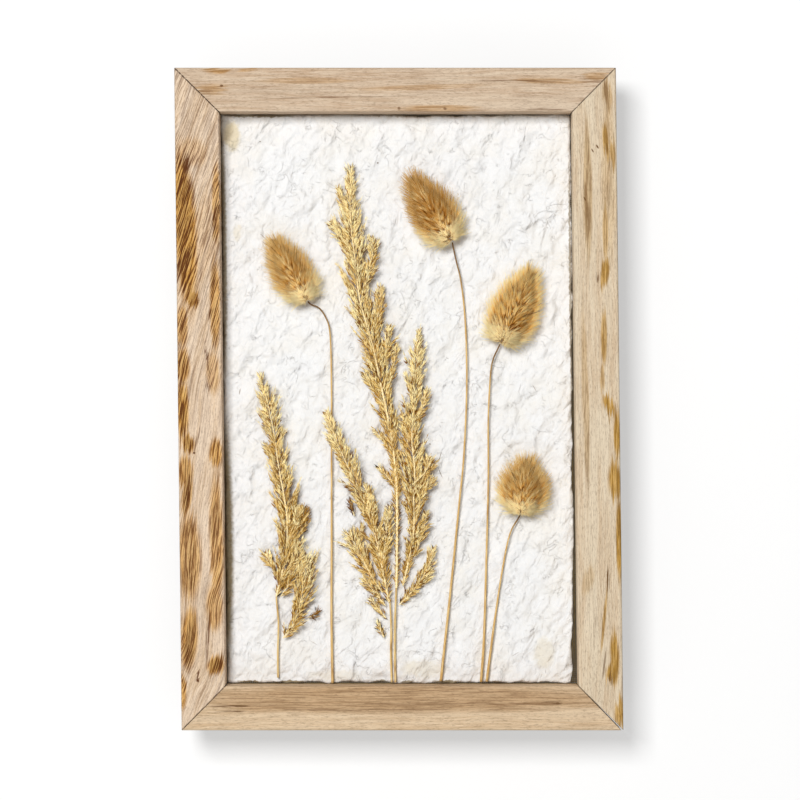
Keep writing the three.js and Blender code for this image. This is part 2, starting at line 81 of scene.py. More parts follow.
class Nodes:  # a node tree with short calls: numbers, colours and sockets are all given as inputs

    def __init__(self, tree):
        self.tree = tree

    def add(self, kind, settings=None, **inputs):
        node = self.tree.nodes.new(kind)
        for key, value in (settings or {}).items():
            setattr(node, key, value)
        for key, value in inputs.items():  # i0, i1 and so on are inputs by number
            numbered = key[0] == "i" and key[1:].isdigit()
            self.feed(node, int(key[1:]) if numbered else key.replace("_", " "), value)
        return node

    def feed(self, node, key, value):
        if isinstance(value, bpy.types.NodeSocket):
            self.tree.links.new(value, node.inputs[key])
        else:
            node.inputs[key].default_value = value

    def math(self, operation, a, b=0.0, c=0.0, clamp=False):
        settings = {"operation": operation, "use_clamp": clamp}
        return self.add("ShaderNodeMath", settings, i0=a, i1=b, i2=c).outputs[0]

    def times(self, a, b):
        return self.math("MULTIPLY", a, b)

    def split(self, vector):
        return self.add("ShaderNodeSeparateXYZ", Vector=vector).outputs

    def turned(self, vector, angle):
        settings = {"rotation_type": "Z_AXIS"}
        return self.add("ShaderNodeVectorRotate", settings, Vector=vector, Angle=angle).outputs[0]

    def vector(self, operation, a, b=(0, 0, 0)):
        node = self.add("ShaderNodeVectorMath", {"operation": operation}, i0=a)
        self.feed(node, "Scale" if operation == "SCALE" else 1, b)
        return node.outputs["Value" if operation == "LENGTH" else "Vector"]

    def noise(self, vector, scale, detail=2.0, rough=0.5, distortion=0.0):
        return self.add("ShaderNodeTexNoise", Vector=vector, Scale=scale, Detail=detail, Roughness=rough,
                        Distortion=distortion).outputs[0]

    def spread(self, value, low, high, start=0.0, end=1.0):  # smoothly from start at low to end at high
        node = self.add("ShaderNodeMapRange", {"interpolation_type": "SMOOTHSTEP"}, Value=value)
        for key, number in (("From Min", low), ("From Max", high), ("To Min", start), ("To Max", end)):
            self.feed(node, key, number)
        return node.outputs[0]

    def mix(self, share, a, b, blend="MIX"):
        node = self.tree.nodes.new("ShaderNodeMix")
        node.data_type = "RGBA"
        node.blend_type = blend
        for key, value in ((0, share), (6, a), (7, b)):
            self.feed(node, key, value)
        return node.outputs[2]

    def ramp(self, value, stops):
        node = self.add("ShaderNodeValToRGB", Fac=value)
        node.color_ramp.elements.remove(node.color_ramp.elements[1])
        for i, (place, colour) in enumerate(stops):
            stop = node.color_ramp.elements[0] if i == 0 else node.color_ramp.elements.new(place)
            stop.position = place
            stop.color = colour
        return node.outputs[0]

    def attribute(self, name):
        return self.add("ShaderNodeAttribute", {"attribute_name": name}).outputs["Vector"]

    def group(self, tree, **inputs):
        node = self.tree.nodes.new("ShaderNodeGroup")
        node.node_tree = tree
        for key, value in inputs.items():
            self.feed(node, key.replace("_", " "), value)
        return node


def newGroup(name, inputs, outputs):
    tree = bpy.data.node_groups.new(name, "ShaderNodeTree")
    for label, kind, value in inputs:
        socket = tree.interface.new_socket(label, in_out="INPUT", socket_type=kind)
        socket.default_value = value
    for label, kind in outputs:
        tree.interface.new_socket(label, in_out="OUTPUT", socket_type=kind)
    return Nodes(tree), tree.nodes.new("NodeGroupInput").outputs, tree.nodes.new("NodeGroupOutput")


def newMaterial(name, roughness=0.8, metallic=0.0, specular=0.5):
    material = bpy.data.materials.new(name)
    material.use_nodes = True
    nodes = Nodes(material.node_tree)
    shader = material.node_tree.nodes["Principled BSDF"]
    shader.inputs["Roughness"].default_value = roughness
    shader.inputs["Metallic"].default_value = metallic
    shader.inputs["Specular IOR Level"].default_value = specular
    return material, nodes, shader


def raised(nodes, shader, height, strength, distance):
    bump = nodes.add("ShaderNodeBump", Height=height, Strength=strength, Distance=distance)
    nodes.feed(shader, "Normal", bump.outputs[0])


def paintedGlow(nodes, shader, colour, strength):  # painted glow: the surface gives off light of its own, standing in for the light that comes through dry husks and hairs; the wall glows by it too
    nodes.feed(shader, "Emission Color", colour)
    shader.inputs["Emission Strength"].default_value = strength


# Effects that several finishes share
def makeGrain():  # long fibres and wide bands of wood, from a place given across and along the grain
    nodes, given, out = newGroup("woodGrain", [
        ("Grain", "NodeSocketVector", (0, 0, 0)), ("Fibre Pitch", "NodeSocketFloat", 1.0),
        ("Fibre Length", "NodeSocketFloat", 20.0), ("Band Pitch", "NodeSocketFloat", 8.0),
        ("Band Length", "NodeSocketFloat", 90.0),
    ], [("Fibre", "NodeSocketFloat"), ("Fine", "NodeSocketFloat"), ("Band", "NodeSocketFloat")])

    def drawn(pitch, length):
        size = nodes.add("ShaderNodeCombineXYZ", X=pitch, Y=length, Z=pitch).outputs[0]
        return nodes.vector("DIVIDE", given["Grain"], size)

    fibre = nodes.noise(drawn(given["Fibre Pitch"], given["Fibre Length"]), 1.0, 2.5, 0.55, 0.25)
    finePitch = nodes.times(given["Fibre Pitch"], 0.8)
    fineLength = nodes.times(given["Fibre Length"], 0.14)
    fine = nodes.noise(drawn(finePitch, fineLength), 1.0, 2.0, 0.6)
    band = nodes.noise(drawn(given["Band Pitch"], given["Band Length"]), 1.0, 3.0, 0.55, 0.6)
    for key, value in (("Fibre", fibre), ("Fine", fine), ("Band", band)):
        nodes.feed(out, key, value)
    return nodes.tree


def makeSpot():  # a soft patch round a place, long and turned as its half sizes and turn say
    nodes, given, out = newGroup("spot", [
        ("Place", "NodeSocketVector", (0, 0, 0)), ("Centre", "NodeSocketVector", (0, 0, 0)),
        ("Half Size", "NodeSocketVector", (1, 1, 1)), ("Turn", "NodeSocketFloat", 0.0),
        ("Core", "NodeSocketFloat", 0.5),
    ], [("Mask", "NodeSocketFloat")])
    away = nodes.vector("SUBTRACT", given["Place"], given["Centre"])
    turned = nodes.turned(away, given["Turn"])
    share = nodes.vector("LENGTH", nodes.vector("DIVIDE", turned, given["Half Size"]))
    nodes.feed(out, "Mask", nodes.spread(share, 1.0, given["Core"]))
    return nodes.tree


woodGrain, spotGroup = makeGrain(), makeSpot()


def frayed(nodes, place, pattern, size, reach):  # a place shifted to and fro, so that patches get ragged ends
    finer = nodes.vector("DIVIDE", pattern, size)
    shift = nodes.math("SUBTRACT", nodes.noise(finer, 1.0, 3.0, 0.65), 0.5)
    across, along = (nodes.times(shift, distance) for distance in reach)
    reached = nodes.add("ShaderNodeCombineXYZ", X=across, Y=along).outputs[0]
    return nodes.vector("ADD", nodes.vector("MULTIPLY", place, (1, 1, 0)), reached)


def spotted(nodes, place, spots):
    # The greatest of several patches, each [x, y, half x, half y, turn to the left in degrees, strength]
    total = None
    for x, y, halfX, halfY, turn, strength in spots:
        mask = nodes.group(spotGroup, Place=place, Centre=(x, y, 0), Half_Size=(halfX, halfY, 1),
                           Turn=math.radians(-turn)).outputs[0]
        mask = nodes.times(mask, strength)
        total = mask if total is None else nodes.math("MAXIMUM", total, mask)
    return total


# Mesh helpers
def finishPiece(name, mesh, material, slotName, *cadNodes):  # stands it up with its face-on place kept
    writeVectors(mesh, "faceOn", placesOf(mesh))
    mesh.transform(standUp)
    mesh.shade_smooth()
    mesh.materials.append(material)
    piece = bpy.data.objects.new(name, mesh)
    bpy.context.scene.collection.objects.link(piece)
    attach(piece, "root")
    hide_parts(*cadNodes)


def meshOf(name, bm):
    mesh = bpy.data.meshes.new(name)
    bm.to_mesh(mesh)
    bm.free()
    return mesh


def writeVectors(mesh, name, values):
    mesh.attributes.new(name, "FLOAT_VECTOR", "POINT").data.foreach_set(
        "vector", np.ascontiguousarray(values, np.float32).ravel())


def placesOf(mesh):
    place = np.empty(len(mesh.vertices) * 3, np.float32)
    mesh.vertices.foreach_get("co", place)
    return place.reshape(-1, 3).astype(float)


def smoothRoute(points, count, resting):  # evenly spaced points on a smooth line through a route
    points = np.array([list(p[:2]) + [resting + (p[2] if len(p) > 2 else 0)] for p in points], float)
    padded = np.vstack([2 * points[0] - points[1], points, 2 * points[-1] - points[-2]])
    steps = np.linspace(0, 1, 24, endpoint=False)[:, None]
    dense = []
    for a, b, c, d in zip(padded, padded[1:], padded[2:], padded[3:]):
        dense.append(b + 0.5 * steps * (c - a + steps * (2 * a - 5 * b + 4 * c - d
                                                          + steps * (3 * (b - c) + d - a))))
    dense = np.vstack(dense + [points[-1:]])
    run = np.concatenate([[0], np.cumsum(np.linalg.norm(np.diff(dense, axis=0), axis=1))])
    even = np.linspace(0, run[-1], count)
    return np.stack([np.interp(even, run, dense[:, i]) for i in range(3)], axis=1), run[-1]


def unit(vectors):
    return vectors / np.maximum(np.linalg.norm(vectors, axis=-1, keepdims=True), 1e-9)


def template(build):  # the corners and faces of a small bmesh, for copying many times
    bm = bmesh.new()
    build(bm)
    bmesh.ops.triangulate(bm, faces=bm.faces[:])
    bmesh.ops.recalc_face_normals(bm, faces=bm.faces[:])
    bm.verts.index_update()
    corners = np.array([v.co[:] for v in bm.verts])
    faces = np.array([[v.index for v in f.verts] for f in bm.faces])
    bm.free()
    return corners, faces


def joinedCopies(shape, feet, runs, lengths, widths, bends, shades):
    # Copies of a shape that stands 1 high on +Z, joined in one mesh. Each has its foot, its direction,
    # its length and width, a vector that its tip is bent by, and two shades that its finish reads
    corners, faces = shape
    runs = unit(runs)
    side = unit(np.cross(runs, np.where(np.abs(runs[:, 2:]) > 0.9, (1.0, 0.0, 0.0), (0.0, 0.0, 1.0))))
    spin = dice.uniform(0, 2 * math.pi, len(feet))[:, None]
    front = np.cross(runs, side)
    first = side * np.cos(spin) + front * np.sin(spin)
    second = np.cross(runs, first)
    x, y, z = (corners[None, :, i, None] for i in range(3))
    bent = bends[:, None, :] * z ** 2
    place = (feet[:, None, :] + (x * widths[:, None, None]) * first[:, None, :]
             + (y * widths[:, None, None]) * second[:, None, :]
             + (z * lengths[:, None, None]) * runs[:, None, :] + bent)
    place = place.reshape(-1, 3)
    place[:, 2] = np.clip(place[:, 2], faceOn["resting"] + 0.02, faceOn["front"])
    index = (faces[None] + (np.arange(len(feet)) * len(corners))[:, None, None]).reshape(-1, 3)
    strand = np.stack([np.broadcast_to(corners[None, :, 2], (len(feet), len(corners))),
                       np.broadcast_to(shades[:, :1], (len(feet), len(corners))),
                       np.broadcast_to(shades[:, 1:2], (len(feet), len(corners)))], axis=-1).reshape(-1, 3)
    return place, index, strand


def meshFromParts(name, parts):  # one mesh from several sets of joined copies
    starts = np.cumsum([0] + [len(p[0]) for p in parts[:-1]])
    place = np.vstack([p[0] for p in parts])
    index = np.vstack([p[1] + start for p, start in zip(parts, starts)])
    mesh = bpy.data.meshes.new(name)
    mesh.vertices.add(len(place))
    mesh.vertices.foreach_set("co", place.astype(np.float32).ravel())
    mesh.loops.add(index.size)
    mesh.loops.foreach_set("vertex_index", index.astype(np.int32).ravel())
    mesh.polygons.add(len(index))
    mesh.polygons.foreach_set("loop_start", np.arange(0, index.size, 3, dtype=np.int32))
    mesh.polygons.foreach_set("loop_total", np.full(len(index), 3, np.int32))
    mesh.update(calc_edges=True)
    writeVectors(mesh, "strand", np.vstack([p[2] for p in parts]))
    return mesh


# Rails
rails = {
    "width": 20, "depth": 16, "rebateDepth": 2.4, "rebateReach": 9,
    "wearFrom": 13.0, "wearOver": 2.2,  # depth at which the wear of the front sets in, and in full
    "frontPitch": 0.5, "sidePitch": 1.4, "step": 0.55,
    "edge": 0.8,  # rounding of the long front edges
    "mitreBack": 0.08, "openMitre": 0.9,
    "leftLean": ([0, 25, 50, 140, 185, 300], [24, 18, 7, 7, 17, 20]),  # degrees off upright by height
}


def leanShift(height):  # how far sideways a fibre of the left rail has gone by that height
    steps = np.linspace(0, faceOn["height"], faceOn["height"] + 1)
    turned = np.tan(np.radians(np.interp(steps, *rails["leftLean"])))
    return np.interp(height, steps, np.cumsum(turned))


def railBar(length):  # a bar along +Y: x is the distance out from the opening, the rebate at its back
    bm = bmesh.new()
    reach, depth = rails["rebateReach"], rails["rebateDepth"]
    outline = [(0, depth), (0, rails["depth"]), (rails["width"], rails["depth"]), (rails["width"], 0),
               (reach, 0), (reach, depth)]
    face = bm.faces.new([bm.verts.new((x, 0, z)) for x, z in outline])
    front = [v for v in face.verts if v.co.z == rails["depth"]]
    bmesh.ops.bevel(bm, geom=front, offset=rails["edge"], segments=4, profile=0.5, affect="VERTICES",
                    material=-1)
    bmesh.ops.delete(bm, geom=bm.faces[:], context="FACES_ONLY")
    for edge in bm.edges[:]:
        isFront = min(v.co.z for v in edge.verts) > rails["depth"] - 0.01
        pitch = rails["frontPitch"] if isFront else rails["sidePitch"]
        cuts = int(edge.calc_length() / pitch) - 1
        if cuts > 0:
            bmesh.ops.subdivide_edges(bm, edges=[edge], cuts=cuts)
    drawn = bmesh.ops.extrude_edge_only(bm, edges=bm.edges[:])
    ahead = [v for v in drawn["geom"] if isinstance(v, bmesh.types.BMVert)]
    bmesh.ops.translate(bm, verts=ahead, vec=(0, length, 0))
    lengthwise = [e for e in bm.edges if abs(e.verts[0].co.y - e.verts[1].co.y) > 1]
    bmesh.ops.subdivide_edges(bm, edges=lengthwise, cuts=int(length / rails["step"]))
    return bm


def mitred(bm, ends):  # both ends cut off by a plane through a point, whose normal looks out of the rail
    for point, normal in ends:
        geometry = bm.verts[:] + bm.edges[:] + bm.faces[:]
        cut = bmesh.ops.bisect_plane(bm, geom=geometry, plane_co=(*point, 0), plane_no=(*normal, 0),
                                     clear_outer=True, dist=0.0001)
        rim = [e for e in cut["geom_cut"] if isinstance(e, bmesh.types.BMEdge)]
        bmesh.ops.edgeloop_fill(bm, edges=rim)
    bmesh.ops.recalc_face_normals(bm, faces=bm.faces[:])


def grainOf(name, place):  # across, along and depth in the wood, following its fibres
    x, y, z = place.T
    waver = np.array([noise.noise(Vector((p[0] / 14, p[1] / 34, 3.1))) for p in place])
    if name == "rail_left":
        waver2 = np.array([noise.noise(Vector((p[0] / 6, p[1] / 16, 8.7))) for p in place])
        calm = np.interp(y, [60, 190], [1.0, 0.35])
        return np.stack([x - leanShift(y) + 2.6 * waver * calm + 1.1 * waver2 * calm, y, z], axis=1)
    if name == "rail_right":
        return np.stack([x + 1.6 * waver, y, z], axis=1)
    turned = np.array([noise.noise(Vector((p[0] / 40, p[1] / 12, 5.3))) for p in place])
    return np.stack([y + 1.2 * turned, x, z], axis=1)


def weathered(grain, place, strength):  # how far in the front lies, by the fibres and by wide hollows
    inward = []
    for (across, along, depth), (x, y, z) in zip(grain, place):
        fibre = noise.noise(Vector((across / 0.75, along / 16, depth / 3)))
        wide = noise.noise(Vector((x / 9, y / 26, depth / 9)))
        inward.append(0.5 - 0.38 * fibre - 0.3 * wide)
    return strength * np.clip(np.array(inward), 0, 1)


def railPiece(name, place, length, ends, relief, material, slotName):
    bm = railBar(length)
    bm.transform(place)
    mitred(bm, ends)
    mesh = meshOf(name + "_wood", bm)
    points = placesOf(mesh)
    grain = grainOf(name, points)
    inward = weathered(grain, points, relief)
    onFront = np.clip((points[:, 2] - rails["wearFrom"]) / rails["wearOver"], 0, 1)
    points[:, 2] -= inward * onFront
    writeVectors(mesh, "grain", grain)
    writeVectors(mesh, "worn", np.stack([inward / relief] * 3, axis=1))
    mesh.vertices.foreach_set("co", points.astype(np.float32).ravel())
    mesh.update()
    finishPiece(name + "_wood", mesh, material, slotName, name)


# Wood. Patches are [x, y, half width, half height, turn, strength] on the face of the rail
woods = {
    "rail_left": {
        "fray": (3.4, 13),  # how far its patches are drawn out across and up
        "calm": (140, 215, 0.45),  # its streaks fade from the second height down to the first
        "pale": tone(236, 213, 187), "middle": tone(216, 181, 138), "golden": tone(202, 143, 58),
        "dark": tone(92, 48, 10), "bright": tone(236, 192, 118), "fibre": 0.36, "length": 11,
        "streaks": 0.72, "plain streaks": 0.46, "specks": 0.3, "bands": 0.5, "seam": 0.95,
        "golden patches": [
            [-96, 227, 7, 47, 3, 1.0], [-92.3, 262, 9, 8, 0, 0.4], [-81.7, 238, 2.6, 24, 0, 0.8],
            [-82.7, 192.5, 3, 28, 0, 0.85], [-83.9, 162, 4, 12, 0, 0.6], [-93, 195.5, 4.4, 5.6, 0, 1.0],
            [-97.7, 183, 3.6, 13, 0, 0.8], [-97.5, 165, 4, 11, 0, 0.9], [-98, 145, 3.8, 18, 0, 1.0],
            [-95.6, 130, 4, 6, 0, 1.0], [-97, 117, 4.6, 10, 0, 0.85], [-96.3, 106, 3, 13, -8, 0.85],
            [-95.6, 78, 6.8, 26, 0, 0.8], [-96, 42, 5.2, 19, -4, 0.9], [-83, 125.6, 3.8, 8.4, 0, 0.9],
            [-83.2, 86, 4.2, 38, 0, 0.8], [-84.4, 56, 5, 14, 0, 0.75], [-84, 29.6, 4.8, 6.4, -30, 1.0],
            [-99.3, 18, 2.6, 10, 0, 0.9], [-88, 222, 7, 26, -10, 0.25],
        ],
        "dark patches": [
            [-95, 257, 2.6, 6, -14, 1.0], [-96, 243.6, 5.2, 9.6, -10, 0.6], [-96.2, 229, 5.2, 12, -10, 0.65],
            [-94.6, 214.6, 2.8, 6.6, -14, 0.95], [-97.8, 209, 3.6, 10, -12, 0.75],
            [-93, 195.4, 3.6, 4.6, 0, 0.8], [-82.2, 232.6, 1.4, 11, -6, 0.95],
            [-83.4, 206, 1.6, 9, -6, 0.7], [-84.3, 189.4, 1.3, 3.6, -14, 0.95],
            [-83.3, 176.6, 1.2, 9, 0, 0.65], [-86.6, 167.6, 0.8, 9.4, 8, 0.9], [-85.8, 156, 2, 2.2, 0, 0.75],
            [-98.8, 163, 1.9, 19, 0, 0.6], [-95.6, 130, 3, 5, -10, 1.0], [-97.7, 140, 1.4, 13, 0, 0.7],
            [-96.2, 107, 2, 12.4, -8, 0.95], [-94.8, 78, 3.8, 19, 0, 0.55], [-95.6, 38.6, 2.7, 14, -6, 0.95],
            [-87.6, 41, 1, 14, -4, 0.85], [-84, 30, 3.2, 4.6, -30, 0.9], [-92.3, 24.4, 0.8, 3.2, 0, 0.9],
            [-91.5, 131.6, 0.8, 7.4, -14, 0.6], [-82.6, 100, 1.4, 9, -6, 0.5],
        ],
        "dots": [[-92.9, 125.6, 0.6, 0.7, 0, 1.0], [-92.3, 22.4, 0.6, 0.8, 0, 1.0]],
    },
    "rail_right": {
        "fray": (1.2, 20), "calm": (0, 1, 1),
        "pale": tone(228, 211, 184), "middle": tone(215, 191, 160), "golden": tone(180, 136, 56),
        "dark": tone(104, 68, 26), "bright": tone(216, 176, 110), "fibre": 0.44, "length": 14,
        "streaks": 0.35, "plain streaks": 0.1, "specks": 0.3, "bands": 0.9, "seam": 0.5,
        "golden patches": [
            [96, 287, 2.8, 10, 6, 0.5], [95.1, 266, 1.9, 12, 5, 0.9], [98, 261, 1.6, 9, 4, 0.8],
            [94.4, 226, 1.8, 17, 0, 0.7], [94, 207, 2.6, 10, -6, 0.95], [93.2, 178, 1.8, 15, 0, 0.85],
            [95.1, 147.3, 3.2, 6.4, 24, 1.0], [98.6, 134, 2, 15, 0, 1.0], [97.4, 113, 3.8, 12, 0, 1.0],
            [99, 86, 1.8, 26, 0, 1.0], [92.4, 160, 1.4, 8, 0, 0.6], [97, 238, 3.4, 20, 0, 0.3],
            [96.4, 34, 2.6, 14, 2, 1.0], [94.8, 25, 3.2, 6, 8, 1.0], [91.8, 50, 0.9, 18, -6, 0.8],
            [98.4, 8, 3, 8, 0, 0.95], [85, 68, 3, 9, -18, 0.35], [86.6, 244, 2.6, 40, 0, 0.5],
            [84.6, 150, 2, 50, 1, 0.4], [96, 250, 4, 46, 0, 0.35],
        ],
        "dark patches": [
            [95.4, 287, 1.6, 9, 6, 0.5], [96, 260, 1, 8, 4, 0.6], [93.8, 67.3, 0.9, 7, 0, 1.0],
            [94.6, 22.8, 1.4, 3, 0, 1.0], [90.4, 206, 0.8, 4, 16, 0.7], [91.6, 29, 0.6, 12, -8, 0.6],
            [86.6, 244, 1.8, 38, 0, 0.5], [95.6, 240, 1, 12, 0, 0.45], [84.6, 140, 1.4, 40, 1, 0.4],
            [98.6, 100, 0.9, 16, 0, 0.45], [87.6, 45, 1, 12, -6, 0.3],
        ],
        "dots": [[91.2, 264.2, 0.45, 1.3, 30, 1.0], [89, 262.4, 0.4, 1.2, 30, 0.9],
                 [85.2, 240.6, 0.4, 1.4, 30, 0.9]],
    },
    "rail_top": {
        "fray": (24, 0.9), "calm": (0, 1, 1),
        "pale": tone(219, 198, 173), "middle": tone(200, 173, 145), "golden": tone(186, 142, 88),
        "dark": tone(112, 76, 44), "bright": tone(212, 180, 142), "fibre": 0.44, "length": 14,
        "streaks": 0.3, "plain streaks": 0.1, "specks": 0.3, "bands": 1.0, "seam": 0.9,
        "golden patches": [
            [-81, 298.6, 6, 2, 0, 0.95], [-67, 299, 5, 1.4, 0, 0.8], [-83, 290, 9, 3.2, 0, 0.7],
            [-40, 294, 28, 1.8, 0, 0.5], [10, 291, 40, 1.6, 2, 0.45], [20, 281.6, 24, 2, 0, 0.7],
            [70, 294, 22, 1.6, -2, 0.55], [91, 296, 8, 2.4, 0, 0.7],
        ],
        "dark patches": [
            [-86, 289, 6, 1.4, 0, 0.5], [88, 294, 7, 1.6, 0, 0.4], [64, 281, 16, 0.9, 0, 0.6],
            [60, 294, 34, 0.5, 0, 0.6], [-28, 286.6, 42, 0.6, 1, 0.5], [-44, 290, 34, 3, 0, 0.14],
        ],
        "dots": [[-78.6, 291.8, 1, 0.7, 0, 0.9], [1.6, 281.6, 0.9, 0.9, 20, 0.7],
                 [22.4, 281.4, 1, 0.8, -20, 0.7]],
    },
    "rail_bottom": {
        "fray": (24, 0.7), "calm": (0, 1, 1),
        "pale": tone(228, 203, 170), "middle": tone(214, 184, 147), "golden": tone(186, 150, 110),
        "dark": tone(102, 70, 38), "bright": tone(200, 166, 126), "fibre": 0.44, "length": 16,
        "streaks": 0.24, "plain streaks": 0.12, "specks": 0.32, "bands": 0.9, "seam": 0.6,
        "golden patches": [[0, 14.4, 130, 8.4, 0, 0.85], [-62, 12, 26, 5, 0, 0.8]],
        "dark patches": [
            [-78, 11, 10, 0.6, 0, 1.0], [-78, 8.6, 10, 0.5, 0, 0.9], [30, 12, 60, 0.6, 0, 0.35],
            [70, 12.4, 5, 1.6, 0, 0.7], [-20, 9.4, 50, 0.5, 0, 0.4], [10, 17.6, 60, 0.4, 0, 0.4],
        ],
        "dots": [[70.4, 12.2, 1.2, 0.7, 0, 0.6]],
    },
}


def mitreDistance(nodes, place):  # of a point of a rail from the nearest mitre, across it
    middle = faceOn["height"] / 2
    aside = nodes.math("ABSOLUTE", nodes.split(place)["X"])
    upward = nodes.math("ABSOLUTE", nodes.math("SUBTRACT", nodes.split(place)["Y"], middle))
    beyond = nodes.math("SUBTRACT", nodes.math("SUBTRACT", upward, aside), middle - faceOn["halfWidth"])
    return nodes.math("ABSOLUTE", beyond)


def woodMaterial(name, look):
    material, nodes, shader = newMaterial(name, roughness=0.72, specular=0.25)
    grain = nodes.attribute("grain")
    place = nodes.attribute("faceOn")
    worn = nodes.split(nodes.attribute("worn"))["X"]
    parts = nodes.group(woodGrain, Grain=grain, Fibre_Pitch=look["fibre"], Fibre_Length=look["length"],
                        Band_Pitch=4.0, Band_Length=80.0)
    fibre, fine, band = (parts.outputs[key] for key in ("Fibre", "Fine", "Band"))
    ragged = frayed(nodes, place, grain, (0.9, 30, 4), look["fray"])
    golden = spotted(nodes, ragged, look["golden patches"])
    dark = spotted(nodes, ragged, look["dark patches"])
    dots = spotted(nodes, nodes.vector("MULTIPLY", place, (1, 1, 0)), look["dots"])
    base = nodes.mix(nodes.spread(band, 0.35, 0.62, 0.0, look["bands"]), look["pale"], look["middle"])
    base = nodes.mix(golden, base, look["golden"])
    low, high, least = look["calm"]
    calm = nodes.spread(nodes.split(place)["Y"], low, high, least, 1.0)
    plain = nodes.times(calm, look["plain streaks"])
    share = nodes.math("MULTIPLY_ADD", golden, look["streaks"], plain)
    streak = nodes.spread(fibre, 0.5, 0.565)
    base = nodes.mix(nodes.math("MULTIPLY", streak, share, clamp=True), base, look["dark"])
    lighter = nodes.mix(golden, look["pale"], look["bright"])
    base = nodes.mix(nodes.times(nodes.spread(fibre, 0.49, 0.42), 0.7), base, lighter)
    specks = nodes.times(nodes.spread(fine, 0.5, 0.66), look["specks"])
    base = nodes.mix(specks, base, look["dark"])
    hollow = nodes.times(nodes.spread(worn, 0.5, 0.9), look["plain streaks"])
    base = nodes.mix(hollow, base, look["dark"])
    darkened = nodes.times(dark, nodes.spread(fibre, 0.42, 0.53, 0.3, 1.0))
    base = nodes.mix(darkened, base, look["dark"])
    base = nodes.mix(dots, base, look["dark"])
    seam = nodes.spread(mitreDistance(nodes, place), 0.6, 0.15, 0.0, look["seam"])
    broken = nodes.spread(nodes.noise(place, 0.7, 2.0), 0.36, 0.5, 0.3, 1.0)
    base = nodes.mix(nodes.times(seam, broken), base, tone(62, 40, 20))
    nodes.feed(shader, "Base Color", base)
    height = nodes.math("ADD", nodes.times(fibre, -0.8), nodes.times(fine, -0.4))
    raised(nodes, shader, height, 0.8, 0.0007)
    nodes.feed(shader, "Roughness", nodes.spread(fibre, 0.3, 0.7, 0.62, 0.82))
    return material


def makeRails():
    half, high, opening = faceOn["halfWidth"], faceOn["height"], faceOn["halfOpening"]
    low, top, back = faceOn["openingLow"], faceOn["openingHigh"], rails["mitreBack"]
    spare = 2  # of each bar beyond its mitres, before they are cut
    unchanged = ((0, 0, 1, 0), (0, 0, 0, 1))
    leftPlace = Matrix(((-1, 0, 0, -opening), (0, 1, 0, -spare), *unchanged))
    rightPlace = Matrix(((1, 0, 0, opening), (0, 1, 0, -spare), *unchanged))
    topPlace = Matrix(((0, 1, 0, -half - spare), (1, 0, 0, top), *unchanged))
    bottomPlace = Matrix(((0, 1, 0, -half - spare), (-1, 0, 0, low), *unchanged))
    upright, level = high + 2 * spare, 2 * (half + spare)
    openSlant = (low, rails["width"] - rails["openMitre"])
    jobs = [
        ("rail_left", leftPlace, upright, 0.55, "figured_wood",
         [((-half, back), (1, -1)), ((-half, high - back), (1, 1))]),
        ("rail_right", rightPlace, upright, 0.3, "pale_wood",
         [((half, back), (-1, -1)), ((half, high - back), (-1, 1))]),
        ("rail_top", topPlace, level, 0.3, "pale_wood",
         [((-half + back, high), (-1, -1)), ((half - back, high), (1, -1))]),
        ("rail_bottom", bottomPlace, level, 0.3, "tan_wood",
         [((-half + back, 0), (-1, 1)), ((opening - back, low), openSlant)]),
    ]
    for name, place, length, relief, slotName, ends in jobs:
        railPiece(name, place, length, ends, relief, woodMaterial(name, woods[name]), slotName)
        print(name, "made")


makeRails()


# Screen: two layers of straight wires, one on the other
screen = {"pitch": 0.92, "wire": 0.17, "sides": 5, "backLayer": 1.22, "frontLayer": 1.56, "reach": 8.7}


def makeScreen():
    bm = bmesh.new()
    halfX = faceOn["halfOpening"] + screen["reach"]
    low, high = faceOn["openingLow"] - screen["reach"], faceOn["openingHigh"] + screen["reach"]

    def wires(count, length, place):
        for i in range(count):
            made = bmesh.ops.create_cone(bm, cap_ends=True, segments=screen["sides"],
                                         radius1=screen["wire"], radius2=screen["wire"], depth=length)
            bmesh.ops.transform(bm, matrix=place(i), verts=made["verts"])

    def laid(axis, *point):
        return Matrix.Translation(point) @ Matrix.Rotation(math.pi / 2, 4, axis)

    pitch, middle = screen["pitch"], (low + high) / 2
    wires(int(2 * halfX / pitch), high - low,
          lambda i: laid("X", -halfX + (i + 0.5) * pitch, middle, screen["backLayer"]))
    wires(int((high - low) / pitch), 2 * halfX,
          lambda i: laid("Y", 0, low + (i + 0.5) * pitch, screen["frontLayer"]))
    material, nodes, shader = newMaterial("wireMesh", roughness=0.6, specular=0.2)
    place = nodes.attribute("faceOn")
    tarnish = nodes.noise(place, 0.35, 3.0, 0.6)
    fine = nodes.noise(place, 4.0, 2.0, 0.6)
    colour = nodes.ramp(tarnish, [
        (0.3, tone(122, 100, 58)), (0.6, tone(158, 136, 90)), (0.8, tone(92, 72, 38))])
    colour = nodes.mix(nodes.spread(fine, 0.5, 0.75), colour, tone(84, 66, 40))
    nodes.feed(shader, "Base Color", colour)
    nodes.feed(shader, "Roughness", nodes.spread(tarnish, 0.3, 0.7, 0.5, 0.75))
    finishPiece("screen_wires", meshOf("screen_wires", bm), material, "wire_mesh", "screen")
    print("screen made")


makeScreen()


# Staples: a flat wire crown with rounded ends that turn into the wood
staples = {
    "length": 9, "width": 1.1, "thickness": 0.6, "bend": 0.5, "rounding": 0.12, "middle": 0.45,
    "across": 3, "up": 5, "inset": 4.5,
}


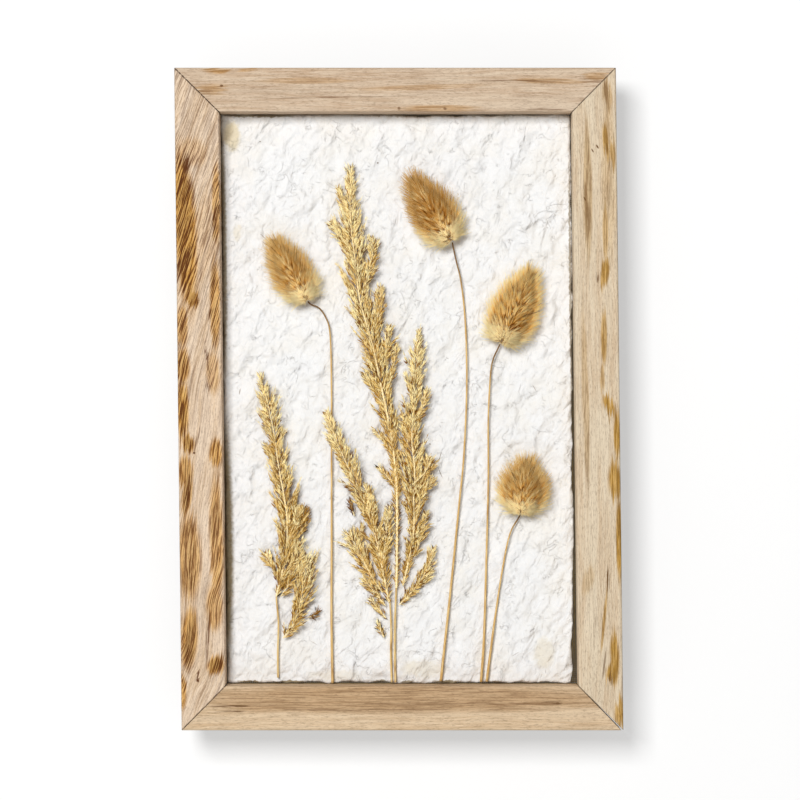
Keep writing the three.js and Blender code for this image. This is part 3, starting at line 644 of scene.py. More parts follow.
def makeStaples():
    material, nodes, shader = newMaterial("stapleSteel", roughness=0.35, metallic=1.0)
    place = nodes.attribute("faceOn")
    dull = nodes.noise(place, 1.2, 3.0, 0.6)
    colour = nodes.ramp(dull, [(0.35, tone(176, 174, 170)), (0.7, tone(128, 122, 114))])
    nodes.feed(shader, "Base Color", colour)
    nodes.feed(shader, "Roughness", nodes.spread(dull, 0.3, 0.7, 0.3, 0.5))
    drawn = nodes.noise(nodes.vector("MULTIPLY", place, (1, 6, 1)), 2.0)
    raised(nodes, shader, drawn, 0.2, 0.0001)
    half, low, high = faceOn["halfOpening"], faceOn["openingLow"], faceOn["openingHigh"]
    places = []
    for i in range(staples["across"]):
        x = half * (2 * (i + 0.5) / staples["across"] - 1)
        places.append((f"staple_top_{i + 1}", x, high + staples["inset"], 0))
        places.append((f"staple_bottom_{i + 1}", x, low - staples["inset"], 0))
    for i in range(staples["up"]):
        y = low + (high - low) * (i + 0.5) / staples["up"]
        places.append((f"staple_left_{i + 1}", -half - staples["inset"], y, math.pi / 2))
        places.append((f"staple_right_{i + 1}", half + staples["inset"], y, math.pi / 2))
    for name, x, y, turn in places:
        bm = bmesh.new()
        bmesh.ops.create_cube(bm, size=1, matrix=Matrix.Diagonal(
            (staples["length"], staples["width"], staples["thickness"], 1)))
        ends = [e for e in bm.edges if abs(e.verts[0].co.x + e.verts[1].co.x) > staples["length"] - 0.1
                and abs(e.verts[0].co.y - e.verts[1].co.y) > 0.5 and e.verts[0].co.z < 0]
        bmesh.ops.bevel(bm, geom=ends, offset=staples["bend"], segments=4, profile=0.5, affect="EDGES",
                        material=-1)
        bmesh.ops.bevel(bm, geom=bm.edges[:], offset=staples["rounding"], segments=2, profile=0.5,
                        affect="EDGES", material=-1, clamp_overlap=True)
        place = Matrix.Translation((x, y, staples["middle"])) @ Matrix.Rotation(turn, 4, "Z")
        bmesh.ops.transform(bm, matrix=place, verts=bm.verts[:])
        finishPiece(name + "_crown", meshOf(name, bm), material, "staple_steel", name)
    print("staples made")


makeStaples()


# Paper
paper = {
    "cell": 0.72, "back": 2.05, "deckle": 0.75, "top": 4.98, "relief": 2.5,
    "thinning": 1.1,  # how far in from the torn edge the sheet starts to thin
    # how far the torn edge stays from the rails, from the lower or left end of each side
    "gaps": {"left": [0.1, 0, -0.1, -0.1, 0, 0], "right": [2.4, 1.2, 1.0, 0.5, 0.2, 0.3],
             "bottom": [0.6, 0.8, 0.7, 0.4, 0.6, 0.4], "top": [-0.1, -0.1, 0, 0.6, 0.2, 0]},
    "tear": 0.6,  # how far the edge wanders
    "slant": 0.5,  # of its dents, in radians
    # marks are [x, y, half width, half height, turn, strength]
    "stains": [[-75, 270, 5, 9, 0, 0.7], [-73, 226, 2.4, 5, 0, 0.3], [65, 34, 6, 9, 0, 0.35],
               [10, 27, 14, 5, 0, 0.3], [-30, 24, 16, 3, 0, 0.25]],
    # edges: the torn edges are darkened olive-brown beside the rails, partly a stained edge and partly
    # painted shade cast by the rails
    "edges": [[-79.6, 215, 2.4, 72, 0, 0.8], [-78, 273, 5, 7, 0, 0.4], [-79.6, 84, 4.2, 70, 0, 0.9],
              [-62, 279.6, 22, 1.2, 0, 0.8], [20, 279.6, 60, 0.8, 0, 0.5], [79, 200, 0.8, 78, 0, 0.7],
              [-70, 20.6, 7, 1, 0, 0.9], [-51, 20.6, 12, 1.1, 0, 0.9], [-10, 20.8, 5, 1.2, 0, 0.8],
              [2.5, 20.6, 4, 1, 0, 0.8], [20.6, 20.8, 8, 1.2, 0, 0.9], [42, 20.6, 7, 1, 0, 0.8]],
    "seeds": [[-8.4, 257.8, 0.55, 0.42, 20, 1.0], [-62, 267.6, 0.45, 0.35, 0, 0.9],
              [14, 129.4, 0.4, 0.5, 0, 0.9], [18.5, 123.4, 0.22, 3.4, -16, 0.9],
              [18.6, 116.2, 0.22, 3.2, 22, 0.9], [-72.6, 153.4, 0.3, 1.8, -10, 0.8],
              [62, 155, 0.25, 2.2, 30, 0.6], [52, 33.6, 0.3, 2.4, -60, 0.4], [-40, 38.6, 0.3, 2.4, 60, 0.35]],
}


def folded(at, size, seed):  # 1 along the crests of wandering folds, 0 between them
    return max(0.0, 1 - abs(noise.noise(at / size + Vector((seed, seed * 1.7, seed)))) * 5)


def crumpled(x, y):  # the height of the pulp, about 0 to 1
    at = Vector((x, y, 0))
    swell = noise.noise(at / 24 + Vector((0, 0, 0.4)))
    at = at + noise.noise_vector(at / 6) * 2.2
    lump = noise.noise(Vector(((at.x - 0.5 * at.y) / 5.6, (at.y + 0.3 * at.x) / 8.4, 3.4)))
    small = noise.noise(Vector((at.x / 2.6, at.y / 2.4, 6.4)))
    much = min(1.0, max(0.0, 0.55 + 1.4 * noise.noise(at / 16 + Vector((2, 7, 9)))))
    slant = Vector((at.x * 0.9 + at.y * 0.45, at.y * 0.5, 0))
    folds = folded(slant, 8.5, 2.0) + 0.7 * folded(at, 5, 9.0) * much
    return 0.38 + 0.24 * swell + 0.42 * lump + 0.07 * small * (0.4 + much) + 0.14 * folds


def tornGap(side, share, seed):
    gaps = paper["gaps"][side]
    wander = noise.fractal(Vector((share * 22, seed, 1.5)), 0.7, 2.1, 5)
    return max(0.04, float(np.interp(share, np.linspace(0, 1, len(gaps)), gaps)) + paper["tear"] * wander)


def makePaper():
    halfX, low, high = faceOn["halfOpening"], faceOn["openingLow"], faceOn["openingHigh"]
    columns, rows = round(2 * halfX / paper["cell"]), round((high - low) / paper["cell"])
    bm = bmesh.new()
    bmesh.ops.create_grid(bm, x_segments=columns, y_segments=rows, size=0.5,
                          matrix=Matrix.Translation((0.5, 0.5, 0)))
    for v in bm.verts:
        u, w = v.co.x, v.co.y
        left, right = -halfX + tornGap("left", w, 0), halfX - tornGap("right", w, 4)
        bottom, top = low + tornGap("bottom", u, 8), high - tornGap("top", u, 12)
        x, y = left + u * (right - left), bottom + w * (top - bottom)
        inset = min(x - left, right - x, y - bottom, top - y)
        share = min(1.0, max(0.0, inset / paper["thinning"])) ** 0.5
        edge = paper["back"] + paper["deckle"]
        front = paper["top"] - paper["relief"] * (1 - min(1.0, max(0.0, crumpled(x, y))))
        v.co = (x, y, edge + (front - edge) * share)
    rim = [e for e in bm.edges if e.is_boundary]
    drawn = bmesh.ops.extrude_edge_only(bm, edges=rim)
    for v in drawn["geom"]:
        if isinstance(v, bmesh.types.BMVert):
            v.co.z = paper["back"]
    bmesh.ops.edgeloop_fill(bm, edges=[e for e in bm.edges if e.is_boundary])
    bmesh.ops.recalc_face_normals(bm, faces=bm.faces[:])
    finishPiece("paper_sheet", meshOf("paper_sheet", bm), paperMaterial(), "cotton_paper", "paper")
    print("paper made")


def creased(nodes, place, scale, width, seed):  # thin broken lines where folded pulp has cracked
    moved = nodes.vector("ADD", place, (seed, seed * 2, seed))
    field = nodes.noise(moved, scale, 3.0, 0.55, 0.9)
    away = nodes.math("ABSOLUTE", nodes.math("SUBTRACT", field, 0.5))
    broken = nodes.noise(moved, scale * 1.1, 2.0, 0.5)
    line = nodes.spread(away, width, 0.0)
    return nodes.times(line, nodes.spread(broken, 0.54, 0.66))


def paperMaterial():
    material, nodes, shader = newMaterial("cottonPaper", roughness=0.9, specular=0.1)
    place = nodes.attribute("faceOn")
    flat = nodes.vector("MULTIPLY", place, (1, 1, 0))
    cloudy = nodes.noise(flat, 0.05, 3.0, 0.6)
    mottle = nodes.noise(flat, 0.4, 4.0, 0.65)
    creases = nodes.math("MAXIMUM", creased(nodes, flat, 0.07, 0.010, 3.0),
                         creased(nodes, flat, 0.17, 0.014, 11.0))
    colour = nodes.mix(nodes.spread(cloudy, 0.4, 0.7), tone(239, 239, 239), tone(237, 235, 231))
    mottled = nodes.times(nodes.spread(mottle, 0.5, 0.75), 0.2)
    colour = nodes.mix(mottled, colour, tone(238, 232, 221))
    # painted shade along the crease lines
    colour = nodes.mix(nodes.times(creases, 0.12), colour, tone(178, 162, 138))
    ragged = frayed(nodes, place, flat, (3, 3, 3), (3, 8))
    colour = nodes.mix(spotted(nodes, ragged, paper["stains"]), colour, tone(216, 200, 160))
    # painted shade from the rails, with some stain, darkens the torn edges
    ragged = frayed(nodes, place, flat, (2, 2, 2), (2, 3))
    colour = nodes.mix(spotted(nodes, ragged, paper["edges"]), colour, tone(132, 114, 76))
    marks = spotted(nodes, flat, paper["seeds"])
    colour = nodes.mix(nodes.times(marks, 0.8), colour, tone(112, 84, 50))
    nodes.feed(shader, "Base Color", colour)
    slanted = nodes.turned(flat, paper["slant"])
    dents = nodes.noise(nodes.vector("MULTIPLY", slanted, (1.4, 0.85, 1)), 0.095, 2.5, 0.5, 0.5)
    soft = nodes.noise(nodes.vector("MULTIPLY", slanted, (1.3, 0.9, 1)), 0.24, 3.0, 0.5, 0.6)
    fibres = nodes.noise(flat, 1.5, 4.0, 0.6, 0.8)
    height = nodes.math("MULTIPLY_ADD", dents, 2.2, nodes.times(soft, 0.7))
    height = nodes.math("MULTIPLY_ADD", fibres, 0.07, height)
    height = nodes.math("MULTIPLY_ADD", creases, -0.14, height)
    raised(nodes, shader, height, 1.0, 0.0016)
    return material


makePaper()


# Dried stems: rings carried along a route, swollen a little at the joints
stems = {"sides": 8, "spacing": 1.6, "swell": 0.07}


def stemMesh(name, route, radii):
    top, middle, foot = radii
    clearance = max(radii)
    _, length = smoothRoute(route, 50, faceOn["resting"] + clearance)
    count = int(length / stems["spacing"])
    line, _ = smoothRoute(route, count, faceOn["resting"] + clearance)
    runs = unit(np.gradient(line, axis=0))
    bm = bmesh.new()
    ring = bmesh.ops.create_circle(bm, cap_ends=False, segments=stems["sides"], radius=1)["verts"]
    edges = bm.edges[:]
    around = [v.co.copy() for v in ring]
    for i, (point, run) in enumerate(zip(line, runs)):
        if i:
            drawn = bmesh.ops.extrude_edge_only(bm, edges=edges)["geom"]
            edges = [g for g in drawn if isinstance(g, bmesh.types.BMEdge) and g.is_boundary]
            moved = [g for g in drawn if isinstance(g, bmesh.types.BMVert)]
        else:
            moved = ring
        share = i / (count - 1)
        swell = 1 + stems["swell"] * noise.noise(Vector((i / 3, 0, 2)))
        radius = np.interp(share, [0, 0.5, 1], [top, middle, foot]) * swell
        turn = Vector((0, 0, 1)).rotation_difference(Vector(run)).to_matrix()
        for v, start in zip(moved, around):
            v.co = Vector(point) + turn @ (start * radius)
            v.co.z = max(v.co.z, faceOn["resting"] + 0.02)
    bmesh.ops.holes_fill(bm, edges=[e for e in bm.edges if e.is_boundary], sides=0)
    bmesh.ops.recalc_face_normals(bm, faces=bm.faces[:])
    mesh = meshOf(name, bm)
    share = np.arange(len(mesh.vertices)) // stems["sides"] / (count - 1)
    writeVectors(mesh, "strand", np.stack([np.clip(share, 0, 1)] * 3, axis=1))
    return mesh


def strawMaterial(name, pale, golden, brown, darkTop):
    material, nodes, shader = newMaterial(name, roughness=0.5, specular=0.2)
    place = nodes.attribute("faceOn")
    long = nodes.noise(nodes.vector("MULTIPLY", place, (5, 0.12, 5)), 1.0, 3.0, 0.6)
    patchy = nodes.noise(nodes.vector("MULTIPLY", place, (0.1, 0.05, 0.1)), 1.0, 3.0, 0.6)
    colour = nodes.ramp(long, [(0.3, pale), (0.52, golden), (0.72, brown)])
    colour = nodes.mix(nodes.spread(patchy, 0.55, 0.75), colour, brown)
    fromTop = nodes.split(nodes.attribute("strand"))["X"]
    colour = nodes.mix(nodes.spread(fromTop, 0.16, 0.02, 0.0, darkTop), colour, tone(92, 58, 30))
    nodes.feed(shader, "Base Color", colour)
    raised(nodes, shader, long, 0.5, 0.0002)
    return material


# Hare's tails
tails = {
    # glow is the strength of the hairs' painted glow, which stands in for light coming through them
    "depth": 9.4, "stemRadii": (0.36, 0.42, 0.6), "glow": 0.13,
    # by the share of the way up the head: half the width, and the angle of the hairs to the head
    "outline": ([0, 0.08, 0.3, 0.6, 0.85, 1], [0.35, 0.74, 1.0, 0.8, 0.34, 0.06]),
    "opening": ([0, 0.06, 0.22, 0.6, 0.88, 1], [108, 74, 50, 33, 17, 5]),
    "outside": 3.6,  # how far the hairs stand out of the spike
    # locks of hairs: how many, hairs in each, length, thickness, where they root from the middle out,
    # how far up the head, how far short of its tip they end, how they splay, the degrees that they open
    # wider by, their shade and its range, and how far round the head they stand from its sides
    "body": {"locks": 1500, "hairs": 10, "reach": 5.8, "thick": 0.2, "root": (0.0, 1.0), "up": (0.0, 1.0),
             "short": 2.6, "splay": 0.05, "wider": 0, "tints": (0.0, 1.0), "around": 1.0},
    "wool": {"locks": 320, "hairs": 9, "reach": 4, "thick": 0.2, "root": (0.3, 1.0), "up": (0.0, 0.14),
             "short": 2, "splay": 0.3, "wider": 6, "tints": (0.0, 0.8), "around": 1.0},
    "fringe": {"locks": 560, "hairs": 2, "reach": 8.2, "thick": 0.2, "root": (0.75, 1.0), "up": (0.0, 1.0),
               "short": 0, "splay": 0.12, "wider": 4, "tints": (0.1, 0.5), "around": 0.12},
    "awns": {"locks": 18, "hairs": 1, "reach": 8.6, "thick": 0.24, "root": (0.5, 0.9), "up": (0.3, 1.0),
             "short": 0, "splay": 0.1, "wider": 8, "tints": (2.0, 0.0), "around": 1.0},
    "core": (0.6, 0.6, 0.6),  # the spike inside, as shares of the head's half width, length and depth
    "heads": [
        {"name": "tail_left", "base": (-41, 194.5), "tip": (-57.4, 224.4), "width": 17.5, "brown": 0.5,
         "stem": [[-39.3, 192.9], [-36, 191.6], [-33, 187.4], [-31, 180], [-30.6, 158], [-30.9, 127],
                  [-31.4, 82], [-31.8, 50], [-31.7, 20.6]]},
        {"name": "tail_upper", "base": (25.2, 221.4), "tip": (5.3, 253), "width": 20.5, "brown": 0.75,
         "stem": [[25.6, 219.2], [27, 212.5], [28.9, 204], [30.4, 190], [31.1, 172], [30.9, 150], [29.2, 122],
                  [27.2, 104], [22.7, 63.5], [17.7, 21.5]]},
        {"name": "tail_right", "base": (46.4, 175), "tip": (62.3, 210.4), "width": 22, "brown": 0.0,
         "stem": [[45.2, 172.4], [43.2, 168], [41.9, 160.5], [40.7, 140], [40.4, 113], [39.1, 77], [37.6, 41],
                  [36, 21]]},
        {"name": "tail_low", "base": (54.9, 97.4), "tip": (58.2, 124.6), "width": 21.5, "brown": 0.45,
         "stem": [[53.6, 95.2], [49.8, 88], [46.4, 72.5], [42.7, 50], [40.4, 34], [38.6, 21.2]]},
    ],
}


def taper(segments, tip):  # a thin shape 1 high and 1 wide, tapered to its tip
    def build(bm):
        made = bmesh.ops.create_cone(bm, cap_ends=True, segments=segments, radius1=0.5, radius2=tip, depth=1)
        bmesh.ops.translate(bm, verts=made["verts"], vec=(0, 0, 0.5))
    return template(build)


hair = taper(3, 0.0)
bristle = taper(3, 0.28)  # blunter, for hairs that stand alone


def headHairs(head, look):  # hairs in locks that leave the spike at an angle that closes towards the tip
    locks, hairs = look["locks"], look["hairs"]
    base, tip = np.array([*head["base"], 0.0]), np.array([*head["tip"], 0.0])
    axis = unit(tip - base)
    length = np.linalg.norm(tip - base)
    side = np.array([axis[1], -axis[0], 0.0])
    up = np.array([0.0, 0.0, 1.0])
    share = dice.uniform(*look["up"], locks)
    turn = dice.uniform(-0.8 * math.pi, 0.8 * math.pi, locks) * look["around"]
    turn = np.where(look["around"] < 1, turn + math.pi * dice.integers(0, 2, locks), turn + 0.5 * math.pi)
    bulge = np.interp(share, *tails["outline"])
    half, deep = head["width"] / 2 - tails["outside"], tails["depth"] / 2 - 0.9
    root = look["root"][0] + (look["root"][1] - look["root"][0]) * np.sqrt(dice.uniform(0, 1, locks))
    angle = np.radians(np.interp(share, *tails["opening"]) + look["wider"] + dice.normal(0, 6, locks))
    reach = look["reach"] * dice.uniform(0.8, 1.2, locks)
    aside = np.cos(turn) + dice.normal(0, 0.2, locks)
    out = unit(side * aside[:, None] + up * (np.sin(turn) * 0.3)[:, None])
    start = 0.8 + share * (length - look["short"] - 0.85 * look["reach"] - 0.8)
    foot = (base + axis * start[:, None] + side * (np.cos(turn) * bulge * half * root)[:, None]
            + up * (np.sin(turn) * bulge * deep * root + deep + faceOn["resting"] + 0.3)[:, None])
    run = axis * np.cos(angle)[:, None] + out * np.sin(angle)[:, None]
    bend = (axis - out * 0.4) * (reach * np.sin(angle) * dice.uniform(0.1, 0.35, locks))[:, None]
    tint = dice.uniform(0, 1, locks)
    many = np.repeat(np.arange(locks), hairs)
    count = len(many)
    tints = look["tints"][0] + look["tints"][1] * (0.8 * tint[many] + dice.uniform(0, 0.2, count))
    return joinedCopies(bristle if hairs < 3 else hair, foot[many] + dice.normal(0, 0.11, (count, 3)),
                        run[many] + dice.normal(0, look["splay"], (count, 3)),
                        reach[many] * dice.uniform(0.75, 1.08, count),
                        dice.uniform(0.8, 1.25, count) * look["thick"], bend[many],
                        np.stack([tints, share[many]], axis=1))


def coreShape(bm):  # the spike that the hairs grow from, 1 high and 1 wide
    made = bmesh.ops.create_icosphere(bm, subdivisions=3, radius=0.5)
    bmesh.ops.translate(bm, verts=made["verts"], vec=(0, 0, 0.5))


def headCore(head):
    wide, long, deep = tails["core"]
    base, tip = np.array(head["base"], float), np.array(head["tip"], float)
    axis = unit(tip - base)
    length = math.dist(head["base"], head["tip"])
    across = np.array([axis[1], -axis[0]])
    corners, faces = template(coreShape)
    place = np.zeros_like(corners)
    forward = corners[:, 2] * length * long + 2.2
    place[:, :2] = (base + axis * forward[:, None] + across * (corners[:, :1] * head["width"] * wide))
    place[:, 2] = faceOn["resting"] + 0.3 + (corners[:, 1] + 0.5) * tails["depth"] * deep
    strand = np.tile([0.3, 0.5, 0.5], (len(corners), 1))
    return place, faces, strand


def furMaterial(name, brown):
    material, nodes, shader = newMaterial(name, roughness=0.8, specular=0.08)
    strand = nodes.split(nodes.attribute("strand"))
    place = nodes.attribute("faceOn")
    alongHair = nodes.ramp(strand["X"], [
        (0.0, tone(104, 56, 12)), (0.2, tone(176, 112, 34)), (0.45, tone(234, 182, 92)),
        (0.8, tone(252, 218, 142)), (1.0, tone(255, 236, 182))])
    tinted = nodes.mix(nodes.spread(strand["Y"], 0.62, 0.8, 0.0, 0.8), alongHair, tone(164, 106, 38))
    pale = nodes.spread(strand["Y"], 0.4, 0.15, 0.0, 0.9)
    pale = nodes.times(pale, nodes.spread(strand["X"], 0.2, 0.5))
    tinted = nodes.mix(pale, tinted, tone(255, 234, 172))
    darker = nodes.times(nodes.spread(strand["Z"], 0.1, 0.4), brown)
    darker = nodes.times(darker, nodes.spread(strand["Y"], 0.0, 0.35, 0.2, 0.9))
    tinted = nodes.mix(darker, tinted, tone(178, 122, 50))
    wool = nodes.spread(strand["Z"], 0.24, 0.06)
    wool = nodes.times(wool, nodes.spread(strand["X"], 0.1, 0.5, 0.1, 0.85))
    tinted = nodes.mix(wool, tinted, tone(246, 230, 180))
    tinted = nodes.mix(nodes.spread(strand["Y"], 1.3, 1.6), tinted, tone(104, 66, 28))
    nodes.feed(shader, "Base Color", tinted)
    # painted glow: the hairs give off light in their own colour
    paintedGlow(nodes, shader, tinted, tails["glow"])
    nodes.feed(shader, "Roughness", nodes.spread(strand["X"], 0.0, 1.0, 0.9, 0.7))
    raised(nodes, shader, nodes.noise(place, 6.0), 0.1, 0.0001)
    return material


def makeTails():
    tones = tone(244, 220, 166), tone(220, 178, 108), tone(150, 102, 48)
    straw = strawMaterial("straw", *tones, 0.85)
    for head in tails["heads"]:
        name = head["name"]
        parts = [headCore(head)]
        parts += [headHairs(head, tails[kind]) for kind in ("body", "wool", "fringe", "awns")]
        mesh = meshFromParts(name + "_fur", parts)
        fur = furMaterial(name + "Fur", head["brown"])
        finishPiece(name + "_fur", mesh, fur, "hare_tail_fur", name + "_head")
        stem = stemMesh(name + "_straw", [head["base"], *head["stem"]], tails["stemRadii"])
        finishPiece(name + "_straw", stem, straw, "straw", name + "_stem")
        print(name, "made,", len(mesh.polygons), "faces")


makeTails()


# Feathery grasses
grass = {
    "spikes": 1.35,  # side spikes for each millimetre of a branch
    # husks along a side spike: how many for each millimetre, length, width, how deep they lie, and how much
    # painted light they get; the under layer gets none and stands as painted shade between the upper husks
    "under": {"florets": 1.0, "husk": 3.0, "wide": 0.8, "sunk": 1.2, "pale": 0.0},
    "upper": {"florets": 2.0, "husk": 2.9, "wide": 0.44, "sunk": 0.0, "pale": 1.0},
    "spread": 1.2,  # of the reach, for husks that stand off their spikes
    "angle": 31,  # of the side spikes to their branch, in degrees
    "glow": 0.26, "darkGlow": 0.04,  # strength of the painted glow that stands in for light coming through the husks
    "culms": {
        "grass_stem_right": ([[-3, 20.8], [-3.1, 36], [-2.8, 50], [-2.2, 62.6], [-1.9, 68]], 0.5),
        "grass_stem_left": ([[-4.7, 20.8], [-4.9, 34], [-4.7, 45], [-5, 56], [-5.6, 60]], 0.45),
        "small_grass_stem": ([[-56.5, 23], [-56.4, 36], [-56, 48], [-56.8, 59], [-56.2, 64]], 0.45),
    },
    "thick": {"grass_tall_plume": 0.55, "grass_right_plume": 0.42, "grass_left_plume": 0.42,
              "small_grass_plume": 0.42},  # of the main stalks, the others are thinner
    "otherThick": 0.3, "branchThick": 0.22,
    # each branch: its route with heights above the paper, and how far it reaches sideways from foot to tip
    "plumes": {
        "grass_tall_plume": [
            ([[-2.1, 63.8, 0.8], [-1.6, 80, 1], [-1.4, 97, 1.2], [-1.6, 113, 1.4], [-3.3, 131, 1.8],
              [-5.8, 145, 2], [-8.4, 158, 2], [-12.3, 177, 2.2], [-17.2, 195, 2.2], [-19.1, 213, 2.2],
              [-20.7, 227, 1.8], [-21.2, 240, 1.2], [-20.7, 254.4, 0.8]], [0.5, 1, 4.4, 6.4, 6.8, 6.4, 5]),
            ([[-15.6, 201, 2.2], [-11.8, 213, 2.2], [-10.9, 223, 1.6]], [2.5, 3.2, 2]),
            ([[-10.9, 180, 2.2], [-8.5, 192, 2.4], [-7.5, 201, 1.8]], [2.5, 3.2, 2]),
            ([[-7.2, 163, 2], [-5.2, 174, 2.2], [-4.2, 183, 1.6]], [2.4, 2.9, 1.8]),
            ([[-4.4, 156, 2], [-2, 166, 1.8], [-1.1, 174, 1.2]], [2, 2.2, 1.6]),
            ([[-8.6, 151, 1.6], [-12.8, 157, 1.4], [-15.4, 161, 0.8]], [1.8, 2.4, 1.6]),
            ([[-3.2, 125, 1.4], [-8, 132, 1.2], [-11.4, 136, 0.8]], [1.2, 2.2, 1.4]),
            ([[-2, 110, 1.2], [-6.4, 115.6, 0.8], [-9.2, 118.8, 0.6]], [1, 1.7, 1.2]),
            ([[-21.2, 231, 1.4], [-24.6, 240, 1.2], [-26.6, 246, 0.8]], [1.6, 2.2, 1.4]),
            ([[-20, 216, 1.6], [-26.6, 225, 1.4], [-30, 230.6, 0.8]], [1.8, 2.4, 1.4]),
        ],
        "grass_right_plume": [
            ([[0.9, 65, 0.8], [2.6, 72, 1], [4.4, 80, 1.4], [6.2, 91, 1.8], [6.2, 104, 2.2], [6.8, 118, 2.2],
              [5.8, 131, 2.2], [6.6, 145, 2], [7.6, 159, 1.8], [9, 175, 1.2], [9.5, 181, 0.8]],
             [1.2, 5, 6.6, 5.4, 5, 2.8]),
            ([[6.4, 78, 1.4], [10.2, 90, 1.8], [12.3, 98, 1.2]], [1.8, 2.6, 1.6]),
            ([[8.4, 109, 2], [12, 117.6, 2], [13.2, 123, 1.4]], [2.6, 3.4, 2.4]),
            ([[4, 130, 1.8], [2.2, 138, 1.4], [1.6, 143, 0.8]], [1.4, 2, 1.4]),
            ([[8.2, 138, 1.8], [11.4, 148, 1.6], [12.6, 154, 1]], [1.8, 2.4, 1.6]),
            ([[7, 100, 2.4], [11.6, 108, 2.6], [14.4, 113, 2]], [2, 3, 2]),
            ([[5.8, 111.2, 4.4], [8.6, 113.6, 5], [11, 116.1, 4.8], [14.3, 121, 4]], None),  # a bare twig
        ],
        "grass_right_low_spray": [
            ([[-0.9, 56.2, 0.6], [4.2, 61.4, 0.8], [9, 67.4, 1.2], [12.8, 74.4, 1.2], [14.5, 81.4, 0.8]],
             [0.9, 3.2, 4, 3.4, 2]),
        ],
        "grass_left_plume": [
            ([[-5.5, 57.3, 0.7], [-8.2, 72, 1.2], [-11.4, 88, 1.6], [-15.6, 101, 2], [-21.2, 114, 3],
              [-26, 125, 4], [-30, 135, 4.4], [-32.6, 143.4, 3.8]], [1, 4.4, 5.4, 5, 4.6, 3.6]),
            ([[-8.6, 73, 1.2], [-7, 84, 1.6], [-5.8, 94, 1.4], [-4.9, 101, 0.8]], [2.8, 4, 2.4, 1.2]),
            ([[-11.4, 90, 1.6], [-13.4, 101, 2], [-15.4, 110.6, 1.4]], [2, 2.6, 1.6]),
        ],
        "grass_dark_tuft": [([[-20.8, 96.8, 0.8], [-21.9, 100, 1], [-22.4, 103, 0.8]], [1.2, 2, 1.4])],
        "grass_low_spray_a": [
            ([[-8.4, 61.8, 0.6], [-13.8, 70, 1], [-18.8, 80, 1.4], [-23.2, 88.6, 0.8]], [1.3, 4.6, 4.8, 2.4]),
            ([[-18, 80, 1.2], [-18.4, 87, 1.2], [-17.8, 92, 0.8]], [1.8, 2.2, 1.4]),
        ],
        "grass_low_spray_b": [([[-7.1, 55.8, 0.6], [-11.4, 61.2, 0.8], [-16.6, 67.8, 0.6]], [0.9, 3, 1.7])],
        "grass_low_spray_c": [([[-6.9, 50.2, 0.5], [-10.5, 54.3, 0.6], [-13.6, 58.4, 0.5]], [0.8, 2, 1.3])],
        "grass_loose_floret": [([[-8, 41.4, 0.4], [-9.4, 44.6, 0.5], [-10.8, 47.6, 0.4]], [0.8, 1.4, 0.9])],
        "small_grass_plume": [
            ([[-56.9, 60, 0.7], [-54, 71, 1.6], [-52, 82, 2.2], [-51.4, 95, 2.2], [-52.8, 106, 2.2],
              [-55.2, 120, 2], [-57, 134, 1.8], [-60, 149, 1.4], [-62.9, 160, 0.8]],
             [1.6, 8.2, 8.4, 5.6, 4.6, 4.6, 3.4]),
            ([[-55.4, 68, 1.2], [-58.8, 74, 1], [-61, 79.6, 0.8]], [1.6, 2.8, 1.8]),
            ([[-54.8, 60, 1], [-50.6, 67, 1.6], [-47.6, 77, 1.6], [-46.6, 84, 1]], [2, 4.6, 4.4, 2.4]),
            ([[-52, 80, 1.6], [-48.4, 90, 2], [-46.2, 99, 1.4]], [2.4, 4.6, 2.4]),
            ([[-56.4, 120, 1.8], [-59.6, 126, 1.4], [-60.8, 129, 1]], [1.2, 1.8, 1.2]),
        ],
        "small_grass_side_plume": [
            ([[-54, 41, 0.6], [-49.4, 47, 1.2], [-46, 57, 1.8], [-44, 69, 1.8], [-43.2, 77, 1.2]],
             [2.2, 5.4, 6.2, 5.6, 4]),
        ],
        "small_grass_dark_plume": [
            ([[-45.8, 88, 1], [-44.4, 94.4, 1.4], [-43.6, 100.4, 1]], [1.6, 2.6, 1.6]),
        ],
        "small_grass_dark_tuft": [([[-42.6, 50.4, 0.6], [-40, 51.4, 0.8], [-38, 53.4, 0.6]], [1, 2, 1.2])],
    },
}


def huskShape(bm):  # a slender pointed husk, 1 high and 1 wide, half as thick
    made = bmesh.ops.create_icosphere(bm, subdivisions=1, radius=0.5)
    for v in made["verts"]:
        point = v.co
        slim = 1 - 0.5 * abs(point.z * 2)
        height = point.z * 1.12 + 0.5 if abs(point.z) > 0.4 else point.z * 0.9 + 0.4
        v.co = (point.x * slim, point.y * 0.6 * slim, height)


husk = template(huskShape)
stalk = taper(5, 0.5)  # a short round length


def rachis(line, radii):  # a stalk as straight lengths end to end
    steps = np.diff(line, axis=0)
    count = len(steps)
    radius = np.interp(np.linspace(0, 1, count), np.linspace(0, 1, len(radii)), radii)
    shades = np.stack([np.full(count, 2.0), np.linspace(1, 0.5, count)], axis=1)
    return joinedCopies(stalk, line[:-1], steps, np.linalg.norm(steps, axis=1) * 1.08, radius * 2,
                        np.zeros((count, 3)), shades)


def routeLength(route):
    return sum(math.dist(a[:2], b[:2]) for a, b in zip(route, route[1:]))


